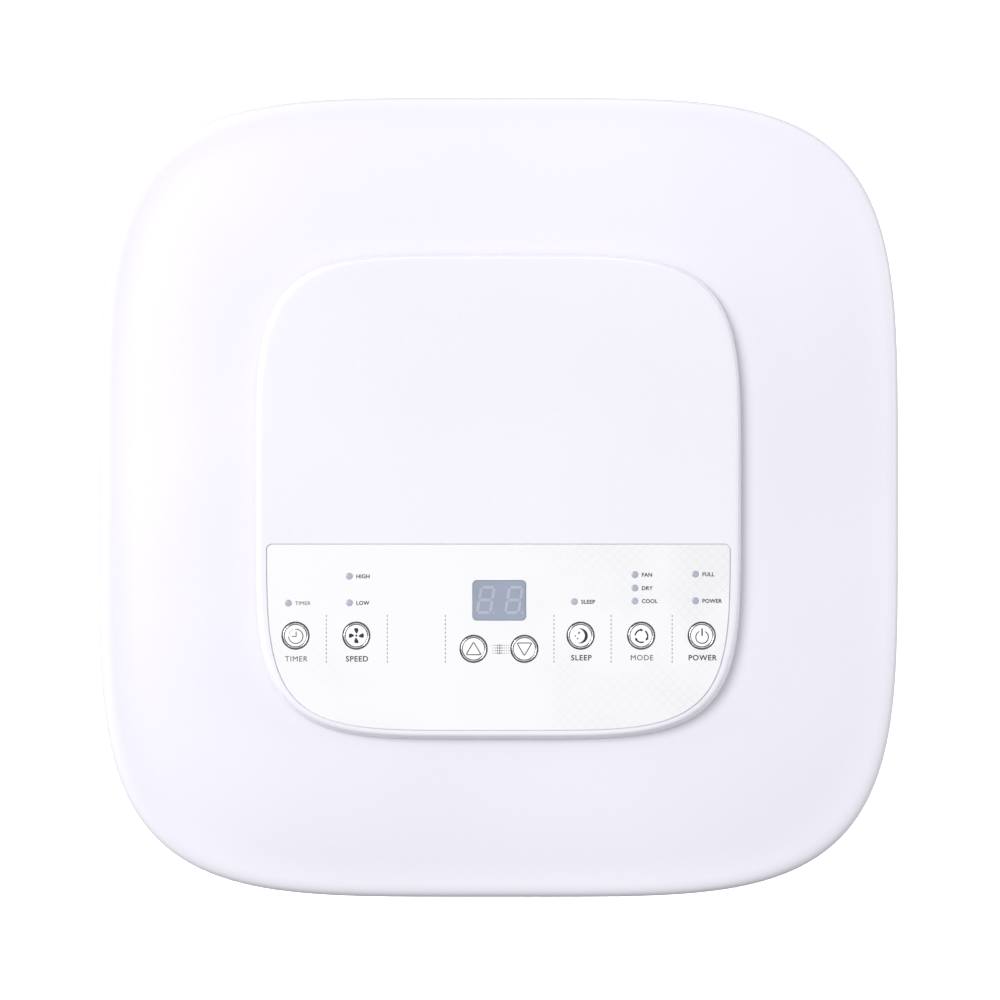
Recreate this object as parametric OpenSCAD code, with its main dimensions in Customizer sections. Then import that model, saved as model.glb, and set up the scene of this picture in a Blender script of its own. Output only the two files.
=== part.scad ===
// Free-standing air conditioner and dehumidifier with a top control pod.
// Origin on the floor under the centre of the footprint, +Z up, front toward -Y.

/* [Body] */
// Width and depth of the top cover, the widest piece
cover_w = 355; // [354:1:360]
// Exponent of the rounded-square outline
corner_power = 4.4; // [4.2:0.1:4.6]
// Thickness of the moulded casings
wall = 2.5; // [2.2:0.1:2.7]

/* [Control pod] */
// Height of the pod's top above the cover's seat
pod_rise = 7; // [6.5:0.5:9]
// Thickness of the printed control film
film_t = 0.8; // [0.6:0.1:1]
// Diameter of the key caps
key_d = 11.9; // [11.4:0.1:12]
// Travel of a key
key_travel = 0.5; // [0.3:0.1:0.6]

/* [Casters] */
// Diameter of a caster wheel
wheel_d = 40; // [38:1:40]
// Distance of each swivel from the centre lines
caster_xy = 112; // [105:1:114]

/* [Exhaust] */
// Inner diameter of the hose collar
hose_d = 130; // [124:1:131]

/* [Hidden] */
$fn = 48;
eps = 0.01;
outline_steps = 96;

// colours
shell_white = [0.96, 0.96, 0.98];
film_white = [0.98, 0.98, 0.99];
panel_grey = [0.62, 0.65, 0.7];
dark_grey = [0.25, 0.26, 0.28];
board_green = [0.12, 0.4, 0.22];
copper = [0.78, 0.45, 0.28];
fin_metal = [0.78, 0.8, 0.82];
steel_black = [0.1, 0.1, 0.11];

// half widths of the stacked outlines
cover_half = cover_w / 2;
casing_half = cover_half - 3.5;
casing_inner = casing_half - wall;
pan_half = casing_half - 1;

// heights
hub_z = 41.5;
caster_top = 46;
pan_bottom = 34;
pan_floor = 56;
casing_bottom = 110;
tray_z = 420;
casing_top = 640;
cover_bottom = 636;
seat_z = 688;
pod_top = seat_z + pod_rise;
plate_z = pod_top - 2.6;
film_z = pod_top - film_t;

// pod and film outlines
pod_half = 106.5;
pod_power = 4.7;
pod_inner = 101.8;
lip_half = 103.6;
cover_hole = 105;
film_half = 102;
film_power = 5;
film_top_y = -20.8;
film_corner = 2.6;

// keys: [x, y]
key_timer = [-89.1, -61.2];
key_speed = [-62.4, -61.2];
key_up = [-10.9, -67];
key_down = [11.4, -67];
key_sleep = [36.1, -61.2];
key_mode = [62.7, -61.2];
key_power = [89.3, -61.2];
keys = [key_timer, key_speed, key_up, key_down, key_sleep, key_mode, key_power];
key_gap = 0.35;
key_hole_r = key_d / 2 + key_gap;

// indicator lamps: [x, y]
lamps = [[-92.2, -46.9], [-65.4, -35.1], [-65.4, -46.8], [33.4, -46.3], [60, -34.4],
    [60, -40.3], [60, -46], [86.6, -34.2], [86.6, -45.9]];
lamp_r = 1.4;

// display window: centre and size
window = [0.4, -45.7];
window_size = [23.3, 17.4];
window_corner = 1.8;

// control board
board_z = pod_top - 12;
board_t = 1.6;

// outlet
mouth_x = 112;
mouth_z = [555, 631];
mouth_y = [-160, -93];
louver_pivot = [-154, 594];
louver_pin_r = 2.5;
vane_y = -108;
vane_pitch = 44;
vane_chord = 13;
vane_pin_r = 1.6;
link_y = -98;
link_z = [590.3, 592.7];
pin_fit = 0.06;

// fans
upper_axis = [0, 512];
lower_axis = [40, 180];
fan_y = [28, 80];
scroll_y = [24, 84];
shaft_r = 4;
sheet = 2;

// rear
intake_x = 118;
upper_intake_z = [440, 618];
lower_intake_z = [112, 268];
exhaust_z = 350;
guard_y = [148, 150];
drain_low = [-60, 70];
drain_high = [-110, 428];
gland = [60, 85];
float_xy = [60, -130];

// compressor
comp_xy = [-85, -55];
comp_r = 55;

// casters
stem_r = 4;
axle_r = 2.5;
trail = 14;
wheel_r = wheel_d / 2;

// --- helpers ---------------------------------------------------------------

function signed_pow(c, p) = sign(c) * pow(abs(c), p);

// a rounded square |x|^n + |y|^n = half^n
function outline(half, n = corner_power) = [for (i = [0 : outline_steps - 1])
    let (t = 360 * i / outline_steps)
    [half * signed_pow(cos(t), 2 / n), half * signed_pow(sin(t), 2 / n)]];

function arc(c, r, a0, a1, steps) = [for (i = [0 : steps])
    let (a = a0 + (a1 - a0) * i / steps) [c[0] + r * cos(a), c[1] + r * sin(a)]];

function round_rect(w, h, r) = concat(
    arc([w / 2 - r, h / 2 - r], r, 0, 90, 6), arc([r - w / 2, h / 2 - r], r, 90, 180, 6),
    arc([r - w / 2, r - h / 2], r, 180, 270, 6), arc([w / 2 - r, r - h / 2], r, 270, 360, 6));

// the front part of the pod's top that the film covers
function film_outline(half) = concat(
    arc([film_half - film_corner, film_top_y - film_corner + half - film_half],
        film_corner, 0, 90, 5),
    arc([film_corner - film_half, film_top_y - film_corner + half - film_half],
        film_corner, 90, 180, 5),
    [for (p = outline(half, film_power)) if (p[1] < film_top_y - film_corner) p]);

// a volute that grows from r0 to r1; side -1 mirrors it; grow widens it by the sheet
function volute(axis, r0, r1, top, side, grow) = concat(
    [for (a = [75 : 15 : 360]) let (r = r0 + grow + (r1 - r0) * (a - 75) / 285)
        [axis[0] + side * r * cos(a), axis[1] + r * sin(a)]],
    [[axis[0] + side * (r1 + grow), top],
        [axis[0] + side * (r0 + grow) * cos(75) - side * 2 * grow * cos(75), top]]);

module slab(half, z0, z1, n = corner_power)
    translate([0, 0, z0]) linear_extrude(z1 - z0) polygon(outline(half, n));

module ring(outer, inner, z0, z1, n = corner_power)
    difference() {
        slab(outer, z0, z1, n);
        slab(inner, z0 - 1, z1 + 1, n);
    }

// a box from its two corners
module span(x, y, z)
    translate([x[0], y[0], z[0]]) cube([x[1] - x[0], y[1] - y[0], z[1] - z[0]]);

module along_x(x0, x1) translate([x0, 0, 0]) rotate([90, 0, 90]) linear_extrude(x1 - x0)
    children();
module along_y(y0, y1) translate([0, y1, 0]) rotate([90, 0, 0]) linear_extrude(y1 - y0)
    children();

module rod_x(r, x0, x1, y, z)
    translate([x0, y, z]) rotate([0, 90, 0]) cylinder(r = r, h = x1 - x0);
module rod_y(r, y0, y1, x, z)
    translate([x, y1, z]) rotate([90, 0, 0]) cylinder(r = r, h = y1 - y0);
module rod_z(r, z0, z1, x = 0, y = 0) translate([x, y, z0]) cylinder(r = r, h = z1 - z0);

// a closed ring swept round the rounded square: profile is a closed list of [half, z]
module swept_ring(profile, n) {
    m = len(profile);
    s = outline_steps;
    points = [for (p = profile) for (q = outline(p[0], n)) [q[0], q[1], p[1]]];
    faces = [for (j = [0 : m - 1]) for (i = [0 : s - 1])
        let (a = j * s + i, b = j * s + (i + 1) % s,
            c = ((j + 1) % m) * s + (i + 1) % s, d = ((j + 1) % m) * s + i)
        for (f = [[a, b, c], [a, c, d]]) f];
    polyhedron(points, [for (f = faces) [f[2], f[1], f[0]]]);
}

// a solid stack of outlines with flat ends: profile is [half, z] from the bottom up
module lofted(profile, n) {
    m = len(profile);
    s = outline_steps;
    points = [for (p = profile) for (q = outline(p[0], n)) [q[0], q[1], p[1]]];
    sides = [for (j = [0 : m - 2]) for (i = [0 : s - 1])
        let (a = j * s + i, b = j * s + (i + 1) % s, c = a + s, d = b + s)
        for (f = [[a, c, b], [b, c, d]]) f];
    low = [for (i = [0 : s - 1]) i];
    high = [for (i = [s - 1 : -1 : 0]) (m - 1) * s + i];
    polyhedron(points, concat(sides, [low], [high]));
}

// a pipe of radius r along a list of points, in straight lengths with mitred joints
module pipe(path, r) {
    m = len(path);
    sides = 8;
    function unit(v) = v / norm(v);
    function heading(i) = unit(i == 0 ? path[1] - path[0] : i == m - 1
        ? path[m - 1] - path[m - 2]
        : unit(path[i] - path[i - 1]) + unit(path[i + 1] - path[i]));
    function across(t) = unit(cross(t, abs(t[2]) < 0.9 ? [0, 0, 1] : [0, 1, 0.01]));
    points = [for (i = [0 : m - 1]) let (t = heading(i), u = across(t), v = cross(t, u))
        for (k = [0 : sides - 1]) path[i] + r * (cos(45 * k) * u + sin(45 * k) * v)];
    wallfaces = [for (i = [0 : m - 2]) for (k = [0 : sides - 1])
        let (a = i * sides + k, b = i * sides + (k + 1) % sides, c = a + sides, d = b + sides)
        for (f = [[a, c, b], [b, c, d]]) f];
    polyhedron(points, concat(wallfaces, [[for (k = [0 : sides - 1]) k]],
        [[for (k = [sides - 1 : -1 : 0]) (m - 1) * sides + k]]));
}

// --- top cover and control pod ---------------------------------------------

rim_inset = 11;
rim_z = 668;
rim_rise = 15.5;
function dome_z(h) = seat_z - (seat_z - rim_z - rim_rise)
    * pow(max(0, h - 110) / (cover_half - rim_inset - 110), 2);

module top_cover() {
    top = concat(
        [[cover_half - 1.2, cover_bottom], [cover_half, cover_bottom + 3]],
        [for (a = [0 : 22.5 : 90])
            [cover_half - rim_inset + rim_inset * cos(a), rim_z + rim_rise * sin(a)]],
        [for (h = [150, 134, 120, 110]) [h, dome_z(h)]],
        [[cover_hole, seat_z]]);
    under = concat(
        [[cover_hole, seat_z - wall], [120, seat_z - wall], [150, dome_z(150) - wall]],
        [for (a = [90 : -30 : 0])
            [cover_half - rim_inset - wall + rim_inset * cos(a) - 3 * (1 - sin(a)),
                rim_z - wall + rim_rise * sin(a)]],
        [[casing_half - 2, casing_top], [casing_half + 1, casing_top],
            [casing_half + 1, cover_bottom]]);
    color(shell_white) swept_ring(concat(top, under), corner_power);
}

module key_holes(z0, z1) {
    for (k = keys) rod_z(key_hole_r, z0, z1, k[0], k[1]);
    for (l = lamps) rod_z(lamp_r + 0.1, z0, z1, l[0], l[1]);
    translate([window[0], window[1], z0]) linear_extrude(z1 - z0)
        polygon(round_rect(window_size[0] + 0.6, window_size[1] + 0.6, window_corner));
}

board_posts = [[-84, -32], [74, -31], [-40, -32], [46, -32], [-75.6, -74], [75, -74]];

module control_pod() {
    edge = 4;
    color(shell_white) difference() {
        union() {
            lofted(concat([[pod_half + 0.2, seat_z], [pod_half, pod_top - edge]],
                [for (a = [22.5 : 22.5 : 90])
                    [pod_half - edge * (1 - cos(a)), pod_top - edge * (1 - sin(a))]]),
                pod_power);
            slab(lip_half, seat_z - 6, seat_z + eps, pod_power);
        }
        slab(pod_inner, seat_z - 7, plate_z, pod_power);
        translate([0, 0, film_z]) linear_extrude(2) polygon(film_outline(film_half));
        key_holes(plate_z - 1, pod_top + 1);
    }
    color(shell_white) for (p = board_posts)
        rod_z(2.4, board_z + board_t, plate_z + 0.5, p[0], p[1]);
}

module control_film() {
    color(film_white) difference() {
        translate([0, 0, film_z]) linear_extrude(film_t) polygon(film_outline(film_half - 0.1));
        key_holes(film_z - 1, pod_top + 1);
    }
}

module display_lens() {
    color(panel_grey) translate([window[0], window[1], pod_top - 2])
        linear_extrude(1.9)
        polygon(round_rect(window_size[0], window_size[1], window_corner));
}

module indicator_leds() {
    color(panel_grey) for (l = lamps)
        rod_z(lamp_r, board_z + board_t, pod_top, l[0], l[1]);
}

key_foot = pod_top - 6;
switch_top = key_foot - key_travel - key_gap;

display_size = window_size + [2, 2];

module control_board() {
    color(board_green) span([-94, 94], [-78, -26], [board_z, board_z + board_t]);
    color(dark_grey) for (k = keys) {
        span([k[0] - 3, k[0] + 3], [k[1] - 3, k[1] + 3],
            [board_z + board_t - eps, board_z + board_t + 3]);
        rod_z(1.75, board_z + board_t + 2, switch_top, k[0], k[1]);
    }
    // microcontroller and display block
    color(dark_grey) {
        span([-56, -32], [-70, -46], [board_z + board_t - eps, board_z + 3.6]);
        translate([window[0], window[1], board_z + board_t - eps])
            linear_extrude(plate_z - board_z - board_t + eps) square(display_size, center = true);
    }
}

module key(k) {
    color(film_white) {
        rod_z(key_d / 2, key_foot, pod_top + 0.3, k[0], k[1]);
        rod_z(key_d / 2 + 0.95, plate_z - 1.8, plate_z - 0.3, k[0], k[1]);
    }
}

// --- casing ----------------------------------------------------------------

front_seam = -70;
rear_seam = 92.6;
seam_gap = 0.6;
lip_reach = 14;
handle_z = [520, 560];
handle_y = 45;
grip_x = 148;
screw_z = [150, 330, 600];
screw_head_r = 3.6;

// an x range on the right, or its mirror image on the left
function outward(side, x) = side > 0 ? x : [-x[1], -x[0]];

module casing_part(y) intersection() {
    ring(casing_half, casing_inner, casing_bottom, casing_top);
    span([-200, 200], y, [casing_bottom - 1, casing_top + 1]);
}

// how far the wall has curved in where a screw head at y first meets it
function curved_in(y) = casing_half * (1
    - pow(1 - pow((abs(y) - screw_head_r) / casing_half, corner_power), 1 / corner_power));

// screws at both seams and along the base, through both sides, following the curved wall
module side_screws(r, x0, x1) {
    seams = [for (z = screw_z) for (y = [front_seam + 8, rear_seam - 8]) [y, z]];
    for (side = [-1, 1]) for (at = concat(seams, [[-20, 116], [60, 116]])) {
        x = outward(side, [x0 - curved_in(at[0]), x1 - curved_in(at[0])]);
        rod_x(r, x[0], x[1], at[0], at[1]);
    }
}

// the lip behind a seam that the side panels are screwed to, and the pads that carry it
module seam_lip(y, pad_y) {
    intersection() {
        ring(casing_inner - 0.3, casing_inner - 2.6, 126, 632);
        for (side = [-1, 1]) span(outward(side, [150, 200]), y, [120, 636]);
    }
    for (side = [-1, 1]) intersection() {
        ring(casing_inner + 1, casing_inner - 1.6, 130, 628);
        span(outward(side, [150, 200]), pad_y, [130, 628]);
    }
}

module front_panel() {
    color(shell_white) difference() {
        union() {
            casing_part([-200, front_seam - seam_gap / 2]);
            seam_lip([front_seam - lip_reach, front_seam + lip_reach],
                [front_seam - 12, front_seam - 3]);
        }
        span([-111, 111], [-190, -150], [559, 627]);
        side_screws(2.1, 160, 180);
    }
}

// one side of the casing, with the hand grip moulded into it as a pocket
module side_panel(side) {
    color(shell_white) difference() {
        union() {
            intersection() {
                casing_part([front_seam + seam_gap / 2, rear_seam - seam_gap / 2]);
                span(outward(side, [100, 200]), [-100, 120], [0, 700]);
            }
            intersection() {
                ring(casing_half, 140, handle_z[0], handle_z[1]);
                span(outward(side, [grip_x, 180]), [-handle_y, handle_y], handle_z);
            }
        }
        span(outward(side, [grip_x + sheet, 190]), [-handle_y + sheet, handle_y - sheet],
            handle_z + [sheet, -sheet]);
        side_screws(2.1, 160, 180);
    }
}

module rear_panel() {
    color(shell_white) difference() {
        union() {
            casing_part([rear_seam + seam_gap / 2, 200]);
            seam_lip([rear_seam - lip_reach, rear_seam + lip_reach],
                [rear_seam + 3, rear_seam + 12]);
        }
        span([-intake_x, intake_x], [140, 190], upper_intake_z);
        span([-intake_x, intake_x], [140, 190], lower_intake_z);
        rod_y(hose_d / 2 + 4, 140, 190, 0, exhaust_z);
        rod_y(7.4, 140, 190, drain_high[0], drain_high[1]);
        side_screws(2.1, 160, 180);
    }
}

module casing_screws() {
    color(fin_metal) {
        side_screws(2, 165.5, 174.2);
        side_screws(screw_head_r, 174.2, 175.6);
    }
}

module grille(z, x, slot_h, slot_pitch, columns) {
    rows = floor((z[1] - z[0] - 12) / slot_pitch);
    first = (z[0] + z[1] - (rows - 1) * slot_pitch) / 2;
    column_w = (2 * x - 12) / columns;
    difference() {
        intersection() {
            ring(casing_half, casing_inner, z[0], z[1]);
            span([-x, x], [100, 190], [z[0] - 1, z[1] + 1]);
        }
        for (i = [0 : rows - 1]) for (c = [0 : columns - 1])
            span([-x + 8 + c * column_w, -x + 4 + (c + 1) * column_w], [140, 190],
                [first + i * slot_pitch - slot_h / 2, first + i * slot_pitch + slot_h / 2]);
    }
}

filter_y = [152, 157];

module intake_grille_upper() {
    x = intake_x - 0.5;
    z = [upper_intake_z[0] + 0.5, upper_intake_z[1] - 0.5];
    color(shell_white) {
        grille(z, x, 5, 9, 3);
        for (px = [-40, 40]) for (pz = [z[0] + 4, z[1] - 4])
            rod_y(2.5, filter_y[1], casing_half - 1.5, px, pz);
    }
}

module filter_upper() {
    z = [upper_intake_z[0] + 1.5, upper_intake_z[1] - 1.5];
    color(dark_grey) difference() {
        span([-116, 116], filter_y, z);
        for (i = [0 : 3]) for (j = [0 : 2])
            span([-111 + 56 * i, -57 + 56 * i], [filter_y[0] + 2, 160],
                [z[0] + 5 + 56 * j, z[0] + 59 - 4 + 56 * j]);
    }
}

module intake_grille_lower() {
    color(shell_white) grille([lower_intake_z[0] + 0.3, lower_intake_z[1] - 0.3],
        intake_x - 0.3, 5, 9, 3);
}

// --- base ------------------------------------------------------------------

module at_corners() for (sx = [-1, 1]) for (sy = [-1, 1])
    translate([sx * caster_xy, sy * caster_xy, 0]) children();

module base_pan() {
    color(shell_white) difference() {
        union() {
            ring(pan_half, pan_half - wall, pan_bottom, casing_bottom);
            ring(casing_inner - 0.5, pan_half - wall - 2, casing_bottom - 8, casing_bottom + 12);
            slab(pan_half - 1, pan_floor, pan_floor + 3);
            at_corners() rod_z(10, 47, 68);
            // ribs that carry the condenser
            for (x = [-100, 60]) span([x, x + 40], [98, 138], [pan_floor + 2, 90]);
            rod_y(9, 150, 172, drain_low[0], drain_low[1]);
        }
        at_corners() rod_z(stem_r + pin_fit, 40, 66.5);
        rod_y(6.3, 140, 190, drain_low[0], drain_low[1]);
        rod_y(8.5, 140, 190, gland[0], gland[1]);
        side_screws(2.1, 160, 180);
    }
}

module cord_gland() {
    color(dark_grey) difference() {
        union() {
            rod_y(8.3, 158, 174, gland[0], gland[1]);
            rod_y(11, 173.2, 176.6, gland[0], gland[1]);
            rod_y(11, 162, 168, gland[0], gland[1]);
        }
        rod_y(4.2, 150, 180, gland[0], gland[1]);
    }
}

module float_stem() {
    color(dark_grey) {
        rod_z(4, pan_floor + 3, 104, float_xy[0], float_xy[1]);
        rod_z(9, pan_floor + 3, 62, float_xy[0], float_xy[1]);
        rod_z(9, 100, 110, float_xy[0], float_xy[1]);
    }
}

module water_float() {
    color(film_white) difference() {
        rod_z(14, 64, 88, float_xy[0], float_xy[1]);
        rod_z(4.4, 60, 92, float_xy[0], float_xy[1]);
    }
}

module drain_plug(at, y) {
    color(dark_grey) {
        rod_y(5.9, y - 12, y, at[0], at[1]);
        rod_y(9.5, y, y + 3.2, at[0], at[1]);
    }
}

// --- casters ---------------------------------------------------------------

module caster_swivel() {
    web_x = 3;
    color(dark_grey) difference() {
        union() {
            rod_z(stem_r, hub_z, 66);
            rod_z(14, hub_z, caster_top);
            along_x(-web_x, web_x) polygon(concat([[13, hub_z + 1], [-9, hub_z + 1]],
                arc([trail, wheel_r], 7, 190, 340, 10)));
        }
        rod_x(axle_r + pin_fit, -10, 10, trail, wheel_r);
    }
}

module caster_wheels() {
    wheel_x = [3.6, 15.6];
    color(steel_black) {
        rod_x(axle_r, -14, 14, trail, wheel_r);
        for (side = [-1, 1]) difference() {
            rod_x(wheel_r, side > 0 ? wheel_x[0] : -wheel_x[1],
                side > 0 ? wheel_x[1] : -wheel_x[0], trail, wheel_r);
            // dished outer face
            rod_x(wheel_r - 5, side > 0 ? wheel_x[1] - 2 : -wheel_x[1] - 1,
                side > 0 ? wheel_x[1] + 1 : -wheel_x[1] + 2, trail, wheel_r);
        }
    }
}

// --- air outlet ------------------------------------------------------------

vane_x = [for (i = [-2 : 2]) i * vane_pitch];

module outlet_frame() {
    color(shell_white) difference() {
        span([-mouth_x - sheet, mouth_x + sheet], mouth_y, mouth_z + [-sheet, sheet]);
        span([-mouth_x, mouth_x], mouth_y + [-1, 1], mouth_z);
        rod_x(louver_pin_r + 0.05, -120, 120, louver_pivot[0], louver_pivot[1]);
        for (x = vane_x) rod_z(vane_pin_r + pin_fit, mouth_z[0] - 5, mouth_z[1] + 5, x, vane_y);
    }
}

module louver() {
    x = 109;
    z = [562, 626];
    skin = 2.2;
    ear = 3;
    color(shell_white) {
        intersection() {
            ring(casing_half, casing_half - skin, z[0], z[1]);
            span([-x, x], [-190, -100], [z[0] - 1, z[1] + 1]);
        }
        for (side = [-1, 1]) {
            along_x(side > 0 ? x - 1 - ear : 1 - x, side > 0 ? x - 1 : 1 + ear - x)
                polygon(concat([[-167.6, louver_pivot[1] + 14], [-167.6, louver_pivot[1] - 14]],
                    arc(louver_pivot, 5.5, -60, 60, 8)));
            rod_x(louver_pin_r, side > 0 ? x - 3 : -mouth_x - 1.6,
                side > 0 ? mouth_x + 1.6 : 3 - x, louver_pivot[0], louver_pivot[1]);
        }
    }
}

module vane(x) {
    notch = [588.5, 594.5];
    color(shell_white) translate([x, 0, 0]) {
        difference() {
            union() {
                span([-0.8, 0.8], [vane_y - vane_chord, vane_y + vane_chord],
                    mouth_z + [2, -2]);
                rod_z(2.6, mouth_z[0] + 1, mouth_z[1] - 1, 0, vane_y);
            }
            span([-3, 3], [link_y - 3.6, link_y + 10], notch);
        }
        rod_z(vane_pin_r, mouth_z[0] - 1.7, mouth_z[1] + 1.7, 0, vane_y);
        rod_z(1.2, notch[0] - 2, notch[1] + 2, 0, link_y);
    }
}

module vane_link() {
    color(dark_grey) difference() {
        union() {
            span([vane_x[0], vane_x[4]], [link_y - 1.4, link_y + 1.4], link_z);
            for (x = vane_x) rod_z(2.5, link_z[0], link_z[1], x, link_y);
        }
        for (x = vane_x) rod_z(1.2 + pin_fit, link_z[0] - 1, link_z[1] + 1, x, link_y);
    }
}

// --- fans ------------------------------------------------------------------

module scroll_shell(axis, r0, r1, top, side) {
    difference() {
        along_y(scroll_y[0] - sheet, scroll_y[1] + sheet)
            polygon(volute(axis, r0, r1, top, side, sheet));
        along_y(scroll_y[0], scroll_y[1]) polygon(volute(axis, r0, r1, top + 1, side, 0));
        rod_y(52, scroll_y[1] - 1, scroll_y[1] + 5, axis[0], axis[1]);
        rod_y(shaft_r + 2, scroll_y[0] - 5, scroll_y[0] + 1, axis[0], axis[1]);
    }
}

duct_z = [584, 634];

module upper_scroll() {
    duct_side = [[scroll_y[1], duct_z[0]], [-20, duct_z[0]], [mouth_y[1], 553],
        [mouth_y[1], duct_z[1]], [scroll_y[1], duct_z[1]]];
    color(panel_grey) difference() {
        union() {
            scroll_shell(upper_axis, 72, 90, duct_z[0] - sheet / 2, 1);
            along_x(-mouth_x - sheet, mouth_x + sheet)
                polygon([duct_side[0] + [sheet, -sheet], duct_side[1] + [0, -sheet],
                    duct_side[2] + [0, -sheet], duct_side[3] + [0, sheet],
                    duct_side[4] + [sheet, sheet]]);
        }
        along_x(-mouth_x, mouth_x)
            polygon([duct_side[0], duct_side[1], duct_side[2] - [1, 0.4],
                duct_side[3] - [1, 0], duct_side[4]]);
        span([20.6, 89], scroll_y, [575, 590]);
    }
}

exhaust_duct = [[-76, 76], [24, 148], [282, 418]];

module lower_scroll() {
    d = exhaust_duct;
    color(panel_grey) difference() {
        union() {
            scroll_shell(lower_axis, 70, 94, d[2][0] - sheet / 2, -1);
            span(d[0] + [-sheet, sheet], d[1] + [-sheet, sheet], d[2] + [-sheet, 0]);
        }
        span(d[0], d[1], d[2] - [0, sheet]);
        span([-53, 20], scroll_y, [270, 290]);
        rod_y(hose_d / 2 + 3.8, 140, 160, 0, exhaust_z);
    }
}

module fan_motor(axis, r) {
    color(dark_grey) {
        rod_y(r, -30, scroll_y[0] - sheet, axis[0], axis[1]);
        rod_y(shaft_r, 0, 56, axis[0], axis[1]);
    }
    color(fin_metal) rod_y(r + 4, -4, 4, axis[0], axis[1]);
}

module fan_wheel(axis, r) {
    blades = 28;
    color(steel_black) translate([axis[0], 0, axis[1]]) difference() {
        union() {
            rod_y(r, fan_y[0], fan_y[0] + 2.5, 0, 0);
            rod_y(11, fan_y[0], fan_y[0] + 26, 0, 0);
            difference() {
                rod_y(r, fan_y[1] - 3, fan_y[1], 0, 0);
                rod_y(r - 13, fan_y[1] - 5, fan_y[1] + 2, 0, 0);
            }
            for (i = [0 : blades - 1]) rotate([0, i * 360 / blades, 0])
                translate([r - 7, fan_y[0] + 1, 0]) rotate([0, 35, 0])
                translate([-6, 0, -0.6]) cube([12, fan_y[1] - fan_y[0] - 2, 1.2]);
        }
        rod_y(shaft_r + 0.05, fan_y[0] - 3, fan_y[0] + 30, 0, 0);
    }
}

// --- heat exchangers -------------------------------------------------------

coil_x = 112;
tube_r = 4;

module coil_fins(y, z, rows, row_y) {
    pitch = (z[1] - z[0]) / rows;
    color(fin_metal) difference() {
        for (x = [-coil_x : 7 : coil_x - 1]) span([x, x + 0.8], y, z);
        for (ry = row_y) for (i = [0 : rows - 1])
            rod_x(tube_r + 0.05, -coil_x - 5, coil_x + 5, ry, z[0] + pitch * (i + 0.5));
    }
}

// straight lengths with return bends at alternate ends
module coil_tubes(z, rows, row_y) {
    pitch = (z[1] - z[0]) / rows;
    end = coil_x + 4;
    color(copper) for (ry = row_y) for (i = [0 : rows - 1]) {
        tz = z[0] + pitch * (i + 0.5);
        rod_x(tube_r, -end, end, ry, tz);
        if (i < rows - 1) translate([i % 2 == 0 ? end : -end, ry, tz + pitch / 2])
            rotate([0, i % 2 == 0 ? 0 : 180, 0]) rotate([90, 0, 0]) rotate([0, 0, -90])
            rotate_extrude(angle = 180) translate([pitch / 2, 0]) circle(tube_r);
    }
}

evap_y = [102, 134];
evap_z = [444, 618];
cond_y = [100, 136];
cond_z = [92, 272];
coil_rows = 6;

module partition_tray() {
    color(shell_white) difference() {
        union() {
            slab(casing_inner - 0.3, tray_z, tray_z + 4);
            difference() {
                span([-132, 132], [92, 150], [tray_z + 2, tray_z + 18]);
                span([-130, 130], [94, 148], [tray_z + 4, tray_z + 30]);
            }
            // feet under the evaporator
            for (x = [-90, 70]) span([x, x + 20], [100, 136], [tray_z + 2, evap_z[0]]);
            rod_y(7, 149, 171, drain_high[0], drain_high[1]);
        }
        rod_y(6.3, 140, 180, drain_high[0], drain_high[1]);
        // room for the lips behind the seams
        for (side = [-1, 1]) for (y = [front_seam, rear_seam])
            span(side > 0 ? [160, 180] : [-180, -160],
                [y - lip_reach - 2, y + lip_reach + 2], [tray_z - 1, tray_z + 5]);
        // the pipes' way through
        span([-150, -120], [60, 90], [tray_z - 1, tray_z + 5]);
    }
}

// --- refrigeration and electrics -------------------------------------------

module compressor() {
    color(steel_black) translate([comp_xy[0], comp_xy[1], 0]) {
        rotate_extrude() polygon([[0, 69], [comp_r - 9, 69], [comp_r - 3, 76], [comp_r, 84],
            [comp_r, 236], [comp_r - 3, 244], [comp_r - 12, 252], [comp_r - 30, 257],
            [0, 259]]);
        for (a = [90, 210, 330]) rotate([0, 0, a]) {
            span([40, 74], [-10, 10], [66, 69 + eps]);
            rod_z(3, 61, 76, 66, 0);
        }
        // accumulator and its bracket
        rotate([0, 0, -60]) {
            rod_z(22, 112, 214, 86, 0);
            rod_z(6, 90, 226, 86, 0);
            span([50, 70], [-8, 8], [150, 156]);
        }
        rod_z(14, 256, 266);
    }
}

module compressor_grommets() {
    color(dark_grey) translate([comp_xy[0], comp_xy[1], 0]) for (a = [90, 210, 330])
        rotate([0, 0, a]) difference() {
            rod_z(9, pan_floor + 3, 66, 66, 0);
            rod_z(3.1, 50, 70, 66, 0);
        }
}

tube_step = (cond_z[1] - cond_z[0]) / coil_rows;
evap_step = (evap_z[1] - evap_z[0]) / coil_rows;
discharge = [[-85, -20, 257], [-85, -20, 286], [-100, 0, 292], [-128, 40, 292],
    [-140, 100, 280], [-134, 109, cond_z[1] - tube_step / 2],
    [-116.2, 109, cond_z[1] - tube_step / 2]];
liquid_line = [[-116.2, 127, cond_z[0] + tube_step / 2],
    [-130, 127, cond_z[0] + tube_step / 2], [-142, 120, 116], [-146, 110, 130],
    [-146, 74, 300], [-138, 74, 400], [-138, 74, 450], [-138, 112, 455],
    [-130, 110, evap_z[0] + evap_step / 2], [-116.2, 110, evap_z[0] + evap_step / 2]];
suction_line = [[-116.2, 126, evap_z[1] - evap_step / 2],
    [-130, 126, evap_z[1] - evap_step / 2], [-146, 112, 598], [-146, 84, 560],
    [-126, 74, 450], [-126, 74, 400], [-138, 20, 330], [-70, -128, 290],
    [-42, -129.5, 262], [-42, -129.5, 226]];

module refrigerant_pipes() {
    color(copper) {
        pipe(discharge, 3.5);
        pipe(liquid_line, 2.5);
        pipe(suction_line, 4);
    }
}

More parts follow.
